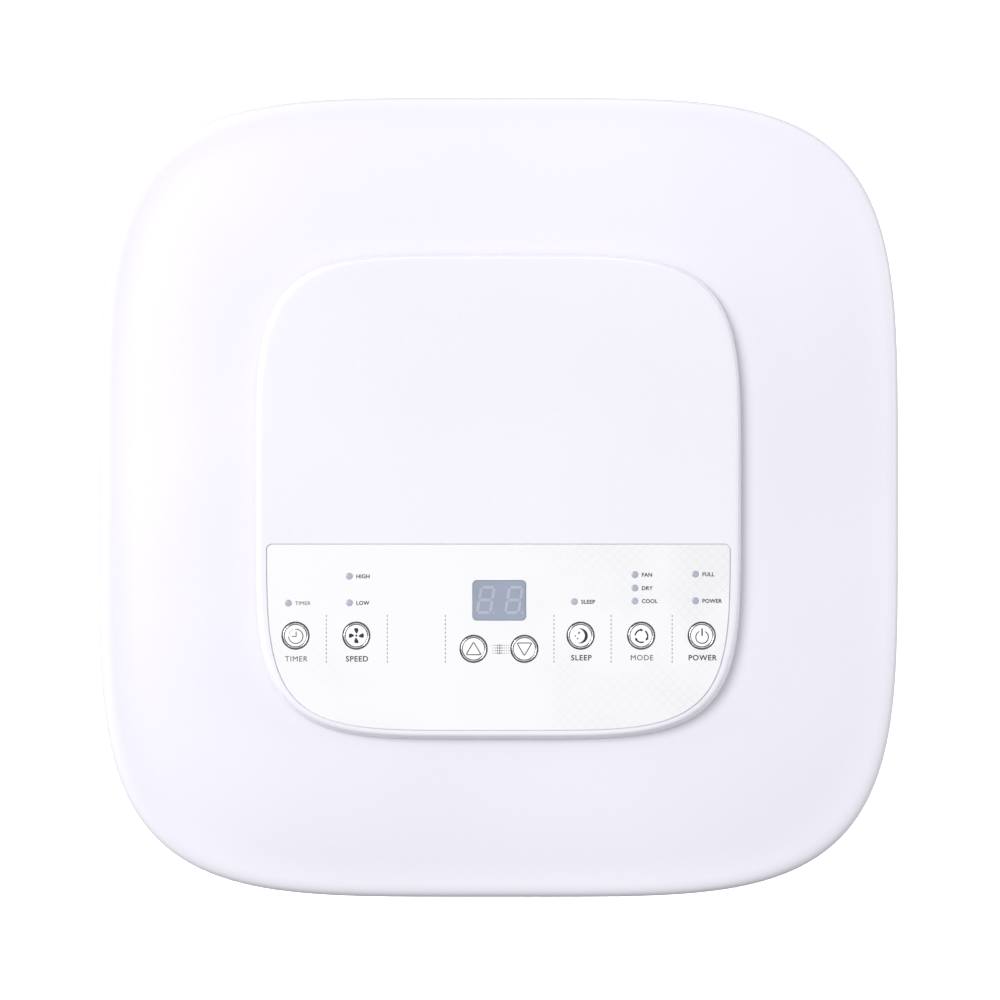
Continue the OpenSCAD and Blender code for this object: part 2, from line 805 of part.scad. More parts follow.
box_x = [20, 130];
box_y = [-140, -60];
box_z = [300, 400];

module electrical_box() {
    color(fin_metal) {
        difference() {
            span(box_x, box_y, box_z);
            span(box_x + [sheet, -sheet], box_y + [sheet, -sheet], box_z + [sheet, 1]);
        }
        difference() {
            span(box_x + [-1, 1], box_y + [-1, 1], [box_z[1], box_z[1] + 8]);
            span(box_x + [1, -1], box_y + [1, -1], [box_z[1] - 1, box_z[1] + 6]);
        }
        // bracket up to the partition
        span([60, 90], [-110, -90], [box_z[1] + 7, tray_z]);
        // run capacitor, its clip and its terminals
        rod_z(18, 304, 372, -1, -100);
        span([16, 20 + eps], [-106, -94], [320, 356]);
        for (dx = [-7, 7]) rod_z(2.5, 371, 380, dx - 1, -100);
    }
}

module upper_motor() fan_motor(upper_axis, 38);
module lower_motor() fan_motor(lower_axis, 34);

module exhaust_collar() {
    r = hose_d / 2;
    color(shell_white) {
        difference() {
            union() {
                rod_y(r + 3.5, guard_y[0], 176, 0, exhaust_z);
                rod_y(r + 11, 174.2, 176.6, 0, exhaust_z);
            }
            rod_y(r, guard_y[1], 180, 0, exhaust_z);
            rod_y(r - 1.5, 140, 180, 0, exhaust_z);
        }
        // guard across the duct's end
        for (a = [0 : 45 : 135]) translate([0, 0, exhaust_z]) rotate([0, a, 0])
            span([-r, r], guard_y, [-1, 1]);
        for (g = [22, 44]) difference() {
            rod_y(g + 1, guard_y[0], guard_y[1], 0, exhaust_z);
            rod_y(g - 1, guard_y[0] - 1, guard_y[1] + 1, 0, exhaust_z);
        }
    }
}

module fan_upper() fan_wheel(upper_axis, 64);
module fan_lower() fan_wheel(lower_axis, 62);

module coil(kind) {
    if (kind == "evaporator_fins") coil_fins(evap_y, evap_z, coil_rows, [110, 126]);
    if (kind == "evaporator_tubes") coil_tubes(evap_z, coil_rows, [110, 126]);
    if (kind == "condenser_fins") coil_fins(cond_y, cond_z, coil_rows, [109, 127]);
    if (kind == "condenser_tubes") coil_tubes(cond_z, coil_rows, [109, 127]);
}

module caster_at(sx, sy) translate([sx * caster_xy, sy * caster_xy, 0]) children();

// --- parts -----------------------------------------------------------------

top_cover();
control_pod();
control_film();
display_lens();
indicator_leds();
control_board();
front_panel();
side_panel(-1);  // side_panel_left
side_panel(1);  // side_panel_right
rear_panel();
base_pan();
outlet_frame();
exhaust_collar();
cord_gland();
casing_screws();
partition_tray();
coil("evaporator_fins");  // evaporator_fins
coil("evaporator_tubes");  // evaporator_tubes
coil("condenser_fins");  // condenser_fins
coil("condenser_tubes");  // condenser_tubes
upper_scroll();
upper_motor();
lower_scroll();
lower_motor();
compressor();
compressor_grommets();
refrigerant_pipes();
electrical_box();
float_stem();
key(key_timer);  // button_timer
key(key_speed);  // button_speed
key(key_up);  // button_up
key(key_down);  // button_down
key(key_sleep);  // button_sleep
key(key_mode);  // button_mode
key(key_power);  // button_power
louver();
vane(vane_x[0]);  // vane_1
vane(vane_x[1]);  // vane_2
vane(vane_x[2]);  // vane_3
vane(vane_x[3]);  // vane_4
vane(vane_x[4]);  // vane_5
vane_link();
fan_upper();  // upper_fan
fan_lower();  // lower_fan
intake_grille_upper();
filter_upper();
intake_grille_lower();
drain_plug(drain_high, 171.5);  // drain_plug_upper
drain_plug(drain_low, 173.4);  // drain_plug_lower
water_float();
caster_at(-1, -1) caster_swivel();  // caster_swivel_front_left
caster_at(1, -1) caster_swivel();  // caster_swivel_front_right
caster_at(-1, 1) caster_swivel();  // caster_swivel_rear_left
caster_at(1, 1) caster_swivel();  // caster_swivel_rear_right
caster_at(-1, -1) caster_wheels();  // caster_wheels_front_left
caster_at(1, -1) caster_wheels();  // caster_wheels_front_right
caster_at(-1, 1) caster_wheels();  // caster_wheels_rear_left
caster_at(1, 1) caster_wheels();  // caster_wheels_rear_right
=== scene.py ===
"""Looks for a free-standing air conditioner and dehumidifier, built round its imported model."""

import math

import bmesh
import bpy
from mathutils import Matrix, Vector


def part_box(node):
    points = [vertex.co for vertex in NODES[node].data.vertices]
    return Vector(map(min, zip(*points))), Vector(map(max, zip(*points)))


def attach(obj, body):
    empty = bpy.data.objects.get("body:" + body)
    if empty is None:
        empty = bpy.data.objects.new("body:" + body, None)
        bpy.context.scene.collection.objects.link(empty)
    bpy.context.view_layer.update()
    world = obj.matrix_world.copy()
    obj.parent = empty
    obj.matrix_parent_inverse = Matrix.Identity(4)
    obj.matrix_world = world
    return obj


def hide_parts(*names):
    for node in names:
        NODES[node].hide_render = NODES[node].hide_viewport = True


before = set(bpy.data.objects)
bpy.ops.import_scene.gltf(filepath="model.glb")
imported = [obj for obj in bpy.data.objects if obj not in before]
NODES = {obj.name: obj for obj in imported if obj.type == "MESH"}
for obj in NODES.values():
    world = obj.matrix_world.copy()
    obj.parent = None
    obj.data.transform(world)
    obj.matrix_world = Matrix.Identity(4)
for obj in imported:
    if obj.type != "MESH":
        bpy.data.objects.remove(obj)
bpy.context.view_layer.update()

MM = 0.001

# --- sizes, in millimetres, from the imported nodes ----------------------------


def low(node, axis):
    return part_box(node)[0][axis] / MM


def high(node, axis):
    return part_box(node)[1][axis] / MM


def span(node, axis):
    return high(node, axis) - low(node, axis)


def centre(node):
    a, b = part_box(node)
    return [(a[i] + b[i]) / 2 / MM for i in range(3)]


# each outline is |x|^power + |y|^power = half^power
COVER_POWER = 4.4
POD_POWER = 4.7
FILM_POWER = 5.0
RING_POINTS = 288

COVER_HALF = high("top_cover", 0)
COVER_LOW = low("top_cover", 2)
COVER_OPENING = 105.0
SEAT_Z = high("top_cover", 2)
DOME_FLAT = 110.0
RIM_INSET = 11.0
RIM_Z = 668.0
RIM_RISE = 15.5
RIM_POWER = 5.0

WALL = 2.5
CASING_HALF = high("side_panel_right", 0)
CASING_INNER = CASING_HALF - WALL
CASING_LOW, CASING_HIGH = low("side_panel_right", 2), high("side_panel_right", 2)
PAN_HALF = CASING_HALF - 1
PAN_LOW = low("base_pan", 2)
PAN_DECK = 59.0
SEAM_Y = -70.0
REAR_SEAM_Y = 92.6
SEAM_GAP = 0.6
LIP_REACH = 14.0
LIP_Z = (126, 632)
OUTLET_X = 111.0
OUTLET_Z = (559.0, 627.0)
HANDLE_X = 148.0
HANDLE_Y = 43.0
HANDLE_Z = (522.0, 558.0)
INTAKE_X = 118.0
UPPER_Z = (440.0, 618.0)
LOWER_Z = (112.0, 268.0)
PORT_R = span("exhaust_collar", 0) / 2 - 11
PORT_Z = centre("exhaust_collar")[2]

POD_HALF = high("control_pod", 0)
POD_INNER = 101.8
POD_TOP = high("control_pod", 2)
FILM_T = span("control_film", 2)
FILM_HALF = high("control_film", 0)
FILM_TOP_Y = high("control_film", 1)
FILM_CORNER = 2.6
FILM_REACH = 1.0
PRINT_TOP = POD_TOP + 0.03
KEY_NAMES = ("timer", "speed", "up", "down", "sleep", "mode", "power")
KEY_AT = {name: centre("button_" + name)[:2] for name in KEY_NAMES}
KEY_FLANGE_R = span("button_timer", 0) / 2
KEY_R = KEY_FLANGE_R - 0.95
KEY_HOLE_R = KEY_R - 0.04
KEY_TOP = high("button_timer", 2)
LAMPS = {"timer": (-92.2, -46.9), "high": (-65.4, -35.1), "low": (-65.4, -46.8),
         "sleep": (33.4, -46.3), "fan": (60.0, -34.4), "dry": (60.0, -40.3),
         "cool": (60.0, -46.0), "full": (86.6, -34.2), "on": (86.6, -45.9)}
LAMP_R = 1.4
WINDOW_AT = centre("display_lens")[:2]
WINDOW_W, WINDOW_H = span("display_lens", 0), span("display_lens", 1)

# --- meshes and objects -------------------------------------------------------


def to_mesh(bm, name):
    """Turns a bmesh into mesh data and frees it."""
    mesh = bpy.data.meshes.new(name)
    bm.to_mesh(mesh)
    bm.free()
    return mesh


def take_mesh(bm, mesh):
    """Adds mesh data to a bmesh and removes the data."""
    bm.from_mesh(mesh)
    bpy.data.meshes.remove(mesh)


def add_object(name, data):
    thing = bpy.data.objects.new(name, data)
    bpy.context.scene.collection.objects.link(thing)
    return thing


# --- the camera comes first ---------------------------------------------------

# it looks straight down from a little in front, with the picture shifted back to the centre
CAMERA_HEIGHT = 1.8
CAMERA_Y = -0.043
FRAME_Y = -0.0009
OUTLINE_Z = 0.664
camera_data = bpy.data.cameras.new("camera")
camera_data.lens = 145.0
camera_data.sensor_width = 36.0
camera_data.clip_end = 50.0
camera_data.shift_y = (FRAME_Y - CAMERA_Y) / CAMERA_HEIGHT * camera_data.lens / camera_data.sensor_width
camera = add_object("camera", camera_data)
camera.location = (0.0007, CAMERA_Y, OUTLINE_Z + CAMERA_HEIGHT)
bpy.context.scene.camera = camera

# --- materials ------------------------------------------------------------------


class Tree:
    """A short way to write the nodes of a material, or of the world."""

    def __init__(self, name, library="materials"):
        self.owner = getattr(bpy.data, library).new(name)
        self.owner.use_nodes = True
        self.nodes = self.owner.node_tree.nodes
        self.links = self.owner.node_tree.links
        self.coordinates = self.add("TexCoord").outputs
        self.place = self.coordinates["Object"]

    def feed(self, socket, value):
        """Links another socket to this one, or gives it a plain value."""
        if isinstance(value, bpy.types.NodeSocket):
            self.links.new(value, socket)
        else:
            socket.default_value = value

    def add(self, kind, values=None, **settings):
        node = self.nodes.new("ShaderNode" + kind)
        for key, value in settings.items():
            setattr(node, key, value)
        for key, value in (values or {}).items():
            self.feed(node.inputs[key], value)
        return node

    def noise(self, scale, detail=3.0, rough=0.5, vector=None):
        return self.add("TexNoise", {"Vector": vector or self.place, "Scale": scale,
                                     "Detail": detail, "Roughness": rough}).outputs["Fac"]

    def math(self, operation, a, b=0.0):
        return self.add("Math", {0: a, 1: b}, operation=operation).outputs[0]

    def spread(self, value, start, end, first=0.0, last=1.0):
        """Runs from first to last while value runs from start to end."""
        return self.add("MapRange", {"Value": value, "From Min": start, "From Max": end,
                                     "To Min": first, "To Max": last}).outputs["Result"]

    def mix(self, factor, a, b, blend="MIX"):
        return self.add("Mix", {0: factor, 6: a, 7: b}, data_type="RGBA",
                        blend_type=blend).outputs[2]

    def shade(self, value, start, end, a, b):
        """Runs from colour a to colour b while value runs from start to end."""
        return self.mix(self.spread(value, start, end), a, b)

    def uneven(self, scale, first, last):
        """A value that wanders over the surface between two limits."""
        return self.spread(self.noise(scale), 0.3, 0.7, first, last)

    def bump(self, height, distance, strength):
        return self.add("Bump", {"Height": height, "Distance": distance,
                                 "Strength": strength}).outputs["Normal"]

    def finish(self, **sockets):
        """Sets the shader's sockets and returns the material."""
        shader = self.nodes["Principled BSDF"]
        for key, value in sockets.items():
            self.feed(shader.inputs[key.replace("_", " ")], value)
        return self.owner


def rgba(colour, factor=1.0):
    return (colour[0] * factor, colour[1] * factor, colour[2] * factor, 1.0)


def moulded(name, colour, rough=0.4, grain=900.0, depth=0.00002, vary=0.02):
    """Injection-moulded plastic: spark-eroded grain, slow colour drift and uneven gloss."""
    tree = Tree(name)
    drift = tree.shade(tree.noise(7.0, 2.0), 0.3, 0.7, rgba(colour, 1.0 - vary),
                       rgba(colour, 1.0 + vary))
    fine = tree.noise(grain, 2.0, 0.6)
    speck = tree.shade(fine, 0.35, 0.65, rgba((0.985, 0.985, 0.985)), rgba((1.0, 1.0, 1.0)))
    return tree.finish(Base_Color=tree.mix(1.0, drift, speck, "MULTIPLY"),
                       Roughness=tree.uneven(24.0, rough - 0.04, rough + 0.05),
                       Normal=tree.bump(fine, depth, 0.6))


def metal(name, colour, rough, streak=(1.0, 1.0, 1.0), vary=0.08):
    """Bare metal with rolling or drawing streaks along one axis."""
    tree = Tree(name)
    vector = tree.add("Mapping", {"Vector": tree.place, "Scale": streak}).outputs["Vector"]
    lines = tree.noise(60.0, 4.0, 0.6, vector)
    base = tree.shade(lines, 0.3, 0.7, rgba(colour, 1.0 - vary), rgba(colour, 1.0 + vary))
    return tree.finish(Base_Color=base, Metallic=1.0,
                       Roughness=tree.spread(lines, 0.3, 0.7, rough - 0.06, rough + 0.1),
                       Normal=tree.bump(lines, 0.00003, 0.3))


def galvanised(name):
    """Zinc sheet with its spangle of crystals."""
    tree = Tree(name)
    cells = tree.add("TexVoronoi", {"Vector": tree.place, "Scale": 160.0})
    crystal = tree.spread(cells.outputs["Color"], 0.0, 1.0)
    base = tree.mix(crystal, rgba((0.5, 0.52, 0.54)), rgba((0.68, 0.7, 0.71)))
    return tree.finish(Base_Color=base, Metallic=1.0,
                       Roughness=tree.spread(crystal, 0.0, 1.0, 0.3, 0.48))


def off_centre(tree, value, pitch):
    """How far the value is from the middle of its cell, from 0 to 0.5."""
    cell = tree.math("FRACT", tree.math("DIVIDE", value, pitch))
    return tree.math("ABSOLUTE", tree.math("SUBTRACT", cell, 0.5))


def film_overlay(name):
    """The glossy overlay with its faint lattice of rounded diamonds."""
    tree = Tree(name)
    split = tree.add("SeparateXYZ", {"Vector": tree.place})
    x, y = split.outputs["X"], split.outputs["Y"]
    pitch = 0.0034
    edges = [off_centre(tree, tree.math(combine, x, y), pitch * math.sqrt(2.0))
             for combine in ("ADD", "SUBTRACT")]
    nearest = tree.add("Math", {0: edges[0], 1: edges[1], 2: 0.06}, operation="SMOOTH_MAX")
    line = tree.spread(nearest.outputs[0], 0.4, 0.49)
    # the print is strongest toward the right and the two front corners
    right = tree.spread(x, -0.02, 0.1)
    away = tree.math("ADD", tree.math("ABSOLUTE", x), tree.math("MULTIPLY", y, -1.0))
    corner = tree.spread(away, 0.13, 0.17, 0.0, 0.7)
    patch = tree.spread(tree.noise(26.0, 2.0), 0.4, 0.62, 0.1, 1.0)
    mask = tree.math("MULTIPLY", tree.math("MAXIMUM", right, corner), patch)
    cell = tree.mix(mask, rgba((0.85, 0.853, 0.857)), rgba((0.795, 0.8, 0.806)))
    base = tree.mix(tree.math("MULTIPLY", line, mask), cell, rgba((0.745, 0.75, 0.76)))
    return tree.finish(Base_Color=base, Roughness=tree.uneven(40.0, 0.16, 0.24),
                       Normal=tree.bump(line, 0.000004, 0.4), Coat_Weight=0.5,
                       Coat_Roughness=0.08)


def ink(name, colour):
    """Screen-printed ink, a little uneven where it is thin; the darkest one also fills each key groove
    as painted shade.
    """
    tree = Tree(name)
    base = tree.shade(tree.noise(2500.0, 2.0), 0.35, 0.65, rgba(colour, 0.85), rgba(colour, 1.25))
    return tree.finish(Base_Color=base, Roughness=tree.uneven(600.0, 0.3, 0.45))


def smoked(name, colour, rough):
    """Smoked plastic, as over the display."""
    tree = Tree(name)
    base = tree.shade(tree.noise(55.0), 0.35, 0.65, rgba(colour, 0.95), rgba(colour, 1.06))
    return tree.finish(Base_Color=base, Roughness=tree.uneven(300.0, rough, rough + 0.08),
                       Coat_Weight=0.4, Coat_Roughness=0.05)


def chrome(name):
    """Bright plated trim with faint polishing marks."""
    tree = Tree(name)
    marks = tree.noise(900.0, 2.0)
    base = tree.mix(marks, rgba((0.9, 0.9, 0.92)), rgba((0.96, 0.96, 0.97)))
    return tree.finish(Base_Color=base, Metallic=1.0,
                       Roughness=tree.spread(marks, 0.3, 0.7, 0.1, 0.18))


def rubber(name, colour):
    """Moulded rubber: dull, with a fine bloom."""
    tree = Tree(name)
    bloom = tree.noise(140.0, 4.0, 0.6)
    base = tree.shade(bloom, 0.4, 0.7, rgba(colour), rgba(colour, 1.6))
    return tree.finish(Base_Color=base, Roughness=tree.spread(bloom, 0.3, 0.7, 0.55, 0.78),
                       Normal=tree.bump(tree.noise(1500.0, 2.0), 0.00003, 0.5))


def board(name):
    """Solder mask over copper tracks."""
    tree = Tree(name)
    tracks = tree.add("TexBrick", {"Vector": tree.place, "Scale": 220.0, "Mortar Size": 0.04,
                                   "Color1": rgba((0.01, 0.16, 0.07)),
                                   "Color2": rgba((0.012, 0.2, 0.09)),
                                   "Mortar": rgba((0.05, 0.32, 0.16))})
    return tree.finish(Base_Color=tracks.outputs["Color"], Roughness=tree.uneven(80.0, 0.25, 0.35))


def mesh_cloth(name):
    """Nylon filter mesh: a square weave of dark threads."""
    tree = Tree(name)
    split = tree.add("SeparateXYZ", {"Vector": tree.place})
    threads = [off_centre(tree, split.outputs[axis], 0.0016) for axis in ("X", "Z")]
    weave = tree.math("MAXIMUM", *threads)
    base = tree.shade(weave, 0.3, 0.42, rgba((0.02, 0.022, 0.026)), rgba((0.16, 0.17, 0.19)))
    return tree.finish(Base_Color=base, Roughness=tree.uneven(200.0, 0.6, 0.75),
                       Normal=tree.bump(weave, 0.0004, 0.6))


def enamel(name, colour):
    """Stoved black enamel with a slight orange peel."""
    tree = Tree(name)
    base = tree.mix(tree.noise(9.0), rgba(colour, 0.8), rgba(colour, 1.4))
    return tree.finish(Base_Color=base, Roughness=tree.uneven(30.0, 0.24, 0.36),
                       Normal=tree.bump(tree.noise(300.0, 2.0), 0.00008, 0.5))


M = {
    "shell": moulded("shell_white", (0.845, 0.83, 0.895), rough=0.42),
    "pod": moulded("pod_white", (0.86, 0.848, 0.905), rough=0.34, depth=0.00001),
    "film": film_overlay("film_overlay"),
    "key": moulded("key_white", (0.93, 0.93, 0.945), rough=0.25, grain=1500.0, depth=0.000005),
    "chrome": chrome("key_ring_chrome"),
    # print ink for icons, words and outlines, also laid in each key groove as painted shade
    "ink": ink("print_ink", (0.02, 0.015, 0.02)),
    "ink_soft": ink("print_ink_soft", (0.2, 0.165, 0.19)),
    "window": smoked("display_window", (0.305, 0.347, 0.437), 0.12),
    "digit": smoked("display_digits", (0.42, 0.44, 0.525), 0.2),
    "lamp": smoked("lamp_lens", (0.4, 0.43, 0.51), 0.2),
    "dark": moulded("dark_plastic", (0.022, 0.022, 0.025), rough=0.45, vary=0.15),
    "duct": moulded("duct_plastic", (0.4, 0.41, 0.43), rough=0.55, vary=0.05),
    "board": board("circuit_board"),
    "copper": metal("drawn_copper", (0.8, 0.42, 0.26), 0.25),
    "fins": metal("fin_aluminium", (0.8, 0.81, 0.83), 0.32, (1.0, 1.0, 14.0)),
    "steel": metal("motor_steel", (0.38, 0.39, 0.41), 0.35, (14.0, 1.0, 1.0)),
    "zinc": metal("zinc_screws", (0.7, 0.71, 0.72), 0.3),
    "galvanised": galvanised("galvanised_sheet"),
    "enamel": enamel("black_enamel", (0.012, 0.012, 0.014)),
    "rubber": rubber("soft_rubber", (0.02, 0.02, 0.022)),
    "caster": moulded("caster_nylon", (0.045, 0.045, 0.05), rough=0.38, vary=0.1),
    "filter": mesh_cloth("filter_mesh"),
}

# --- pieces -----------------------------------------------------------------------


def dress(mesh, material):
    """Gives a mesh one material and smooth faces."""
    mesh.materials.clear()
    mesh.materials.append(M[material])
    mesh.polygons.foreach_set("use_smooth", [True] * len(mesh.polygons))


def round_edges(piece, width, segments, angle):
    """A bevel, in millimetres, along the edges that turn by more than angle."""
    rounding = piece.modifiers.new("edges", "BEVEL")
    rounding.width = width * MM
    rounding.segments = segments
    rounding.limit_method = "ANGLE"
    rounding.angle_limit = math.radians(angle)


def finish_mesh(name, bm, material, body, slot, replaces=(), bevel=0.0, segments=2, angle=35.0):
    """Turns a bmesh in millimetres into a piece of the model."""
    bmesh.ops.scale(bm, vec=(MM, MM, MM), verts=bm.verts)
    bmesh.ops.recalc_face_normals(bm, faces=bm.faces)
    mesh = to_mesh(bm, name)
    piece = add_object(name, mesh)
    dress(mesh, material)
    if bevel:
        round_edges(piece, bevel, segments, angle)
        piece.modifiers.new("normals", "WEIGHTED_NORMAL").keep_sharp = True
    else:
        mesh.set_sharp_from_angle(angle=math.radians(angle))
    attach(piece, body)
    if replaces:
        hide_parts(*replaces)


def finish_shell(name, bm, replaces=(), body="casing", **edges):
    finish_mesh(name, bm, "shell", body, "shell_white", replaces, angle=50.0, **edges)


# --- outlines and solids ------------------------------------------------------------


def on_outline(half, t, power):
    """The point of |x|^n + |y|^n = half^n at the curve's own angle t."""
    c, s = math.cos(t), math.sin(t)
    return (half * math.copysign(abs(c) ** (2 / power), c),
            half * math.copysign(abs(s) ** (2 / power), s))


def toward(t, power):
    """The direction, seen from the centre, of the point at curve angle t.

    With 4 / power in place of power it is the other way round."""
    quarter = math.floor(t / (math.pi / 2) + 1e-9)
    rest = min(max(t - quarter * math.pi / 2, 0.0), math.pi / 2)
    return quarter * math.pi / 2 + math.atan2(math.sin(rest) ** (2 / power),
                                              math.cos(rest) ** (2 / power))


def even_angles(power, start, end, count, stops=()):
    """Curve angles evenly spaced along the outline from start to end, and at each stop."""
    fine = 6000
    way = [toward(start, power) + (toward(end, power) - toward(start, power)) * i / fine
           for i in range(fine + 1)]
    angles = [toward(v, 4 / power) for v in way]
    points = [on_outline(1.0, t, power) for t in angles]
    length = [0.0]
    for a, b in zip(points, points[1:]):
        length.append(length[-1] + math.dist(a, b))
    picked, j = [], 0
    for k in range(count + 1):
        want = length[-1] * k / count
        while j < fine and length[j] < want:
            j += 1
        picked.append(angles[j])
    picked[-1] = end
    for stop in stops:
        nearest = min(range(len(picked)), key=lambda i: abs(picked[i] - stop))
        if nearest in (0, len(picked) - 1) and abs(picked[nearest] - stop) > 1e-6:
            nearest = 1 if nearest == 0 else len(picked) - 2
        picked[nearest] = stop
    return sorted(picked)


def side_angle(y, half=CASING_HALF, power=COVER_POWER):
    """The curve angle at y on an outline's right-hand side."""
    return math.asin(math.copysign((abs(y) / half) ** (power / 2), y))


def rear_angle(x):
    """The curve angle at x on the rear half of the casing."""
    return math.acos(math.copysign((abs(x) / CASING_HALF) ** (COVER_POWER / 2), x))


def bridge(bm, below, above):
    """The wall between two rings with as many points."""
    for i in range(len(below)):
        bm.faces.new((below[i - 1], below[i], above[i], above[i - 1]))


def cap_ends(bm, bottom, top):
    bm.faces.new(bottom[::-1])
    bm.faces.new(top)
    return bm


def outline_rings(bm, profile, power):
    """A ring round the rounded square for each (half, z)."""
    angles = even_angles(power, 0.0, 2 * math.pi, RING_POINTS)[:-1]
    return [[bm.verts.new((*on_outline(half, t, power), z)) for t in angles]
            for half, z in profile]


def swept_bmesh(profile, power):
    """A closed profile of (half, z) swept round the rounded square."""
    bm = bmesh.new()
    rings = outline_rings(bm, profile, power)
    for below, above in zip(rings, rings[1:] + rings[:1]):
        bridge(bm, below, above)
    return bm


def stacked_bmesh(profile, power):
    """A solid stack of outlines (half, z) from the bottom up, with flat ends."""
    bm = bmesh.new()
    rings = outline_rings(bm, profile, power)
    for below, above in zip(rings, rings[1:]):
        bridge(bm, below, above)
    return cap_ends(bm, rings[0], rings[-1])


def prism_bmesh(points, z0, z1):
    """An outline extruded straight up."""
    bm = bmesh.new()
    bottom, top = ([bm.verts.new((x, y, z)) for x, y in points] for z in (z0, z1))
    bridge(bm, bottom, top)
    return cap_ends(bm, bottom, top)


def box_bmesh(low_corner, high_corner):
    (x0, y0, z0), (x1, y1, z1) = low_corner, high_corner
    return prism_bmesh([(x0, y0), (x1, y0), (x1, y1), (x0, y1)], z0, z1)


def panel_bmesh(angles, heights, holes=(), outer=CASING_HALF, inner=CASING_INNER):
    """A curved wall between two outlines. holes are (angle, angle, height, height) on grid lines."""
    bm = bmesh.new()
    verts = {}
    columns, rows = len(angles) - 1, len(heights) - 1

    def corner(half, i, k):
        if (half, i, k) not in verts:
            x, y = on_outline(half, angles[i], COVER_POWER)
            verts[half, i, k] = bm.verts.new((x, y, heights[k]))
        return verts[half, i, k]

    def solid(i, k):
        if not (0 <= i < columns and 0 <= k < rows):
            return False
        t, z = (angles[i] + angles[i + 1]) / 2, (heights[k] + heights[k + 1]) / 2
        return not any(a < t < b and c < z < d for a, b, c, d in holes)

    for i in range(columns):
        for k in range(rows):
            if not solid(i, k):
                continue
            for half in (outer, inner):
                bm.faces.new([corner(half, i, k), corner(half, i + 1, k),
                              corner(half, i + 1, k + 1), corner(half, i, k + 1)])
            for beside, a, b in (((i - 1, k), (i, k), (i, k + 1)),
                                 ((i + 1, k), (i + 1, k), (i + 1, k + 1)),
                                 ((i, k - 1), (i, k), (i + 1, k)),
                                 ((i, k + 1), (i, k + 1), (i + 1, k + 1))):
                if not solid(*beside):
                    bm.faces.new([corner(outer, *a), corner(outer, *b),
                                  corner(inner, *b), corner(inner, *a)])
    return bm


def polar(at, radius, angle):
    return (at[0] + radius * math.cos(angle), at[1] + radius * math.sin(angle))


def lathe_bmesh(profile, at, count=72):
    """A profile of (radius, z) turned about the vertical through at; radius 0 closes it."""
    bm = bmesh.new()
    rings = []
    for radius, z in profile:
        if radius < 1e-6:
            rings.append([bm.verts.new((*at, z))])
        else:
            rings.append([bm.verts.new((*polar(at, radius, 2 * math.pi * i / count), z))
                          for i in range(count)])
    pairs = list(zip(rings, rings[1:]))
    if len(rings[0]) > 1:
        pairs.append((rings[-1], rings[0]))
    for a, b in pairs:
        for i in range(count):
            corners = [a[i - 1] if len(a) > 1 else a[0], a[i] if len(a) > 1 else a[0],
                       b[i] if len(b) > 1 else b[0], b[i - 1] if len(b) > 1 else b[0]]
            unique = list(dict.fromkeys(corners))
            if len(unique) > 2:
                bm.faces.new(unique)
    return bm


def ring_bmesh(at, inner, outer, z0, z1, count=72):
    """A flat ring, or a disc when inner is 0."""
    return lathe_bmesh([(inner, z0), (outer, z0), (outer, z1), (inner, z1)], at, count)


def along_y(bm):
    """Turns what was drawn along Z so that it lies along Y."""
    matrix = Matrix(((1, 0, 0, 0), (0, 0, 1, 0), (0, 1, 0, 0), (0, 0, 0, 1)))
    bmesh.ops.transform(bm, matrix=matrix, verts=bm.verts)
    return bm


def to_side(bm, side):
    """Mirrors what was drawn on the right when it belongs on the left."""
    if side == "left":
        bmesh.ops.scale(bm, vec=(-1, 1, 1), verts=bm.verts)
    return bm


def join(shapes):
    out = bmesh.new()
    for shape in shapes:
        take_mesh(out, to_mesh(shape, "part"))
    return out


def cut(bm, cutters):
    """Takes each cutter away from the solid and returns what is left."""
    things = []
    for name, shape in (("cut_solid", bm), ("cut_tool", join(cutters))):
        bmesh.ops.recalc_face_normals(shape, faces=shape.faces)
        things.append(add_object(name, to_mesh(shape, name)))
    solid, tool = things
    modifier = solid.modifiers.new("cut", "BOOLEAN")
    modifier.operation = "DIFFERENCE"
    modifier.solver = "EXACT"
    modifier.use_self = True
    modifier.object = tool
    graph = bpy.context.evaluated_depsgraph_get()
    out = bmesh.new()
    take_mesh(out, bpy.data.meshes.new_from_object(solid.evaluated_get(graph)))
    for thing in things:
        mesh = thing.data
        bpy.data.objects.remove(thing)
        bpy.data.meshes.remove(mesh)
    bmesh.ops.remove_doubles(out, verts=out.verts, dist=1e-4)
    return out


# --- flat shapes ----------------------------------------------------------------------


def shifted(points, at):
    return [(x + at[0], y + at[1]) for x, y in points]


def arc(at, radius, start, end, steps):
    return [polar(at, radius, math.radians(start + (end - start) * i / steps))
            for i in range(steps + 1)]


def dot(at, radius):
    """A circle of 12 points."""
    return arc(at, radius, 0, 330, 11)


def round_rect(at, width, height, radius):
    x, y = width / 2 - radius, height / 2 - radius
    points = []
    for sx, sy, start in ((1, 1, 0), (-1, 1, 90), (-1, -1, 180), (1, -1, 270)):
        points += arc((at[0] + sx * x, at[1] + sy * y), radius, start, start + 90, 8)
    return points


def stroke_end(tip, inner, width):
    """The round end at the tip of a line that comes from inner."""
    heading = math.degrees(math.atan2(tip[1] - inner[1], tip[0] - inner[0]))
    return arc(tip, width / 2, heading + 90, heading - 90, 6)[1:-1]


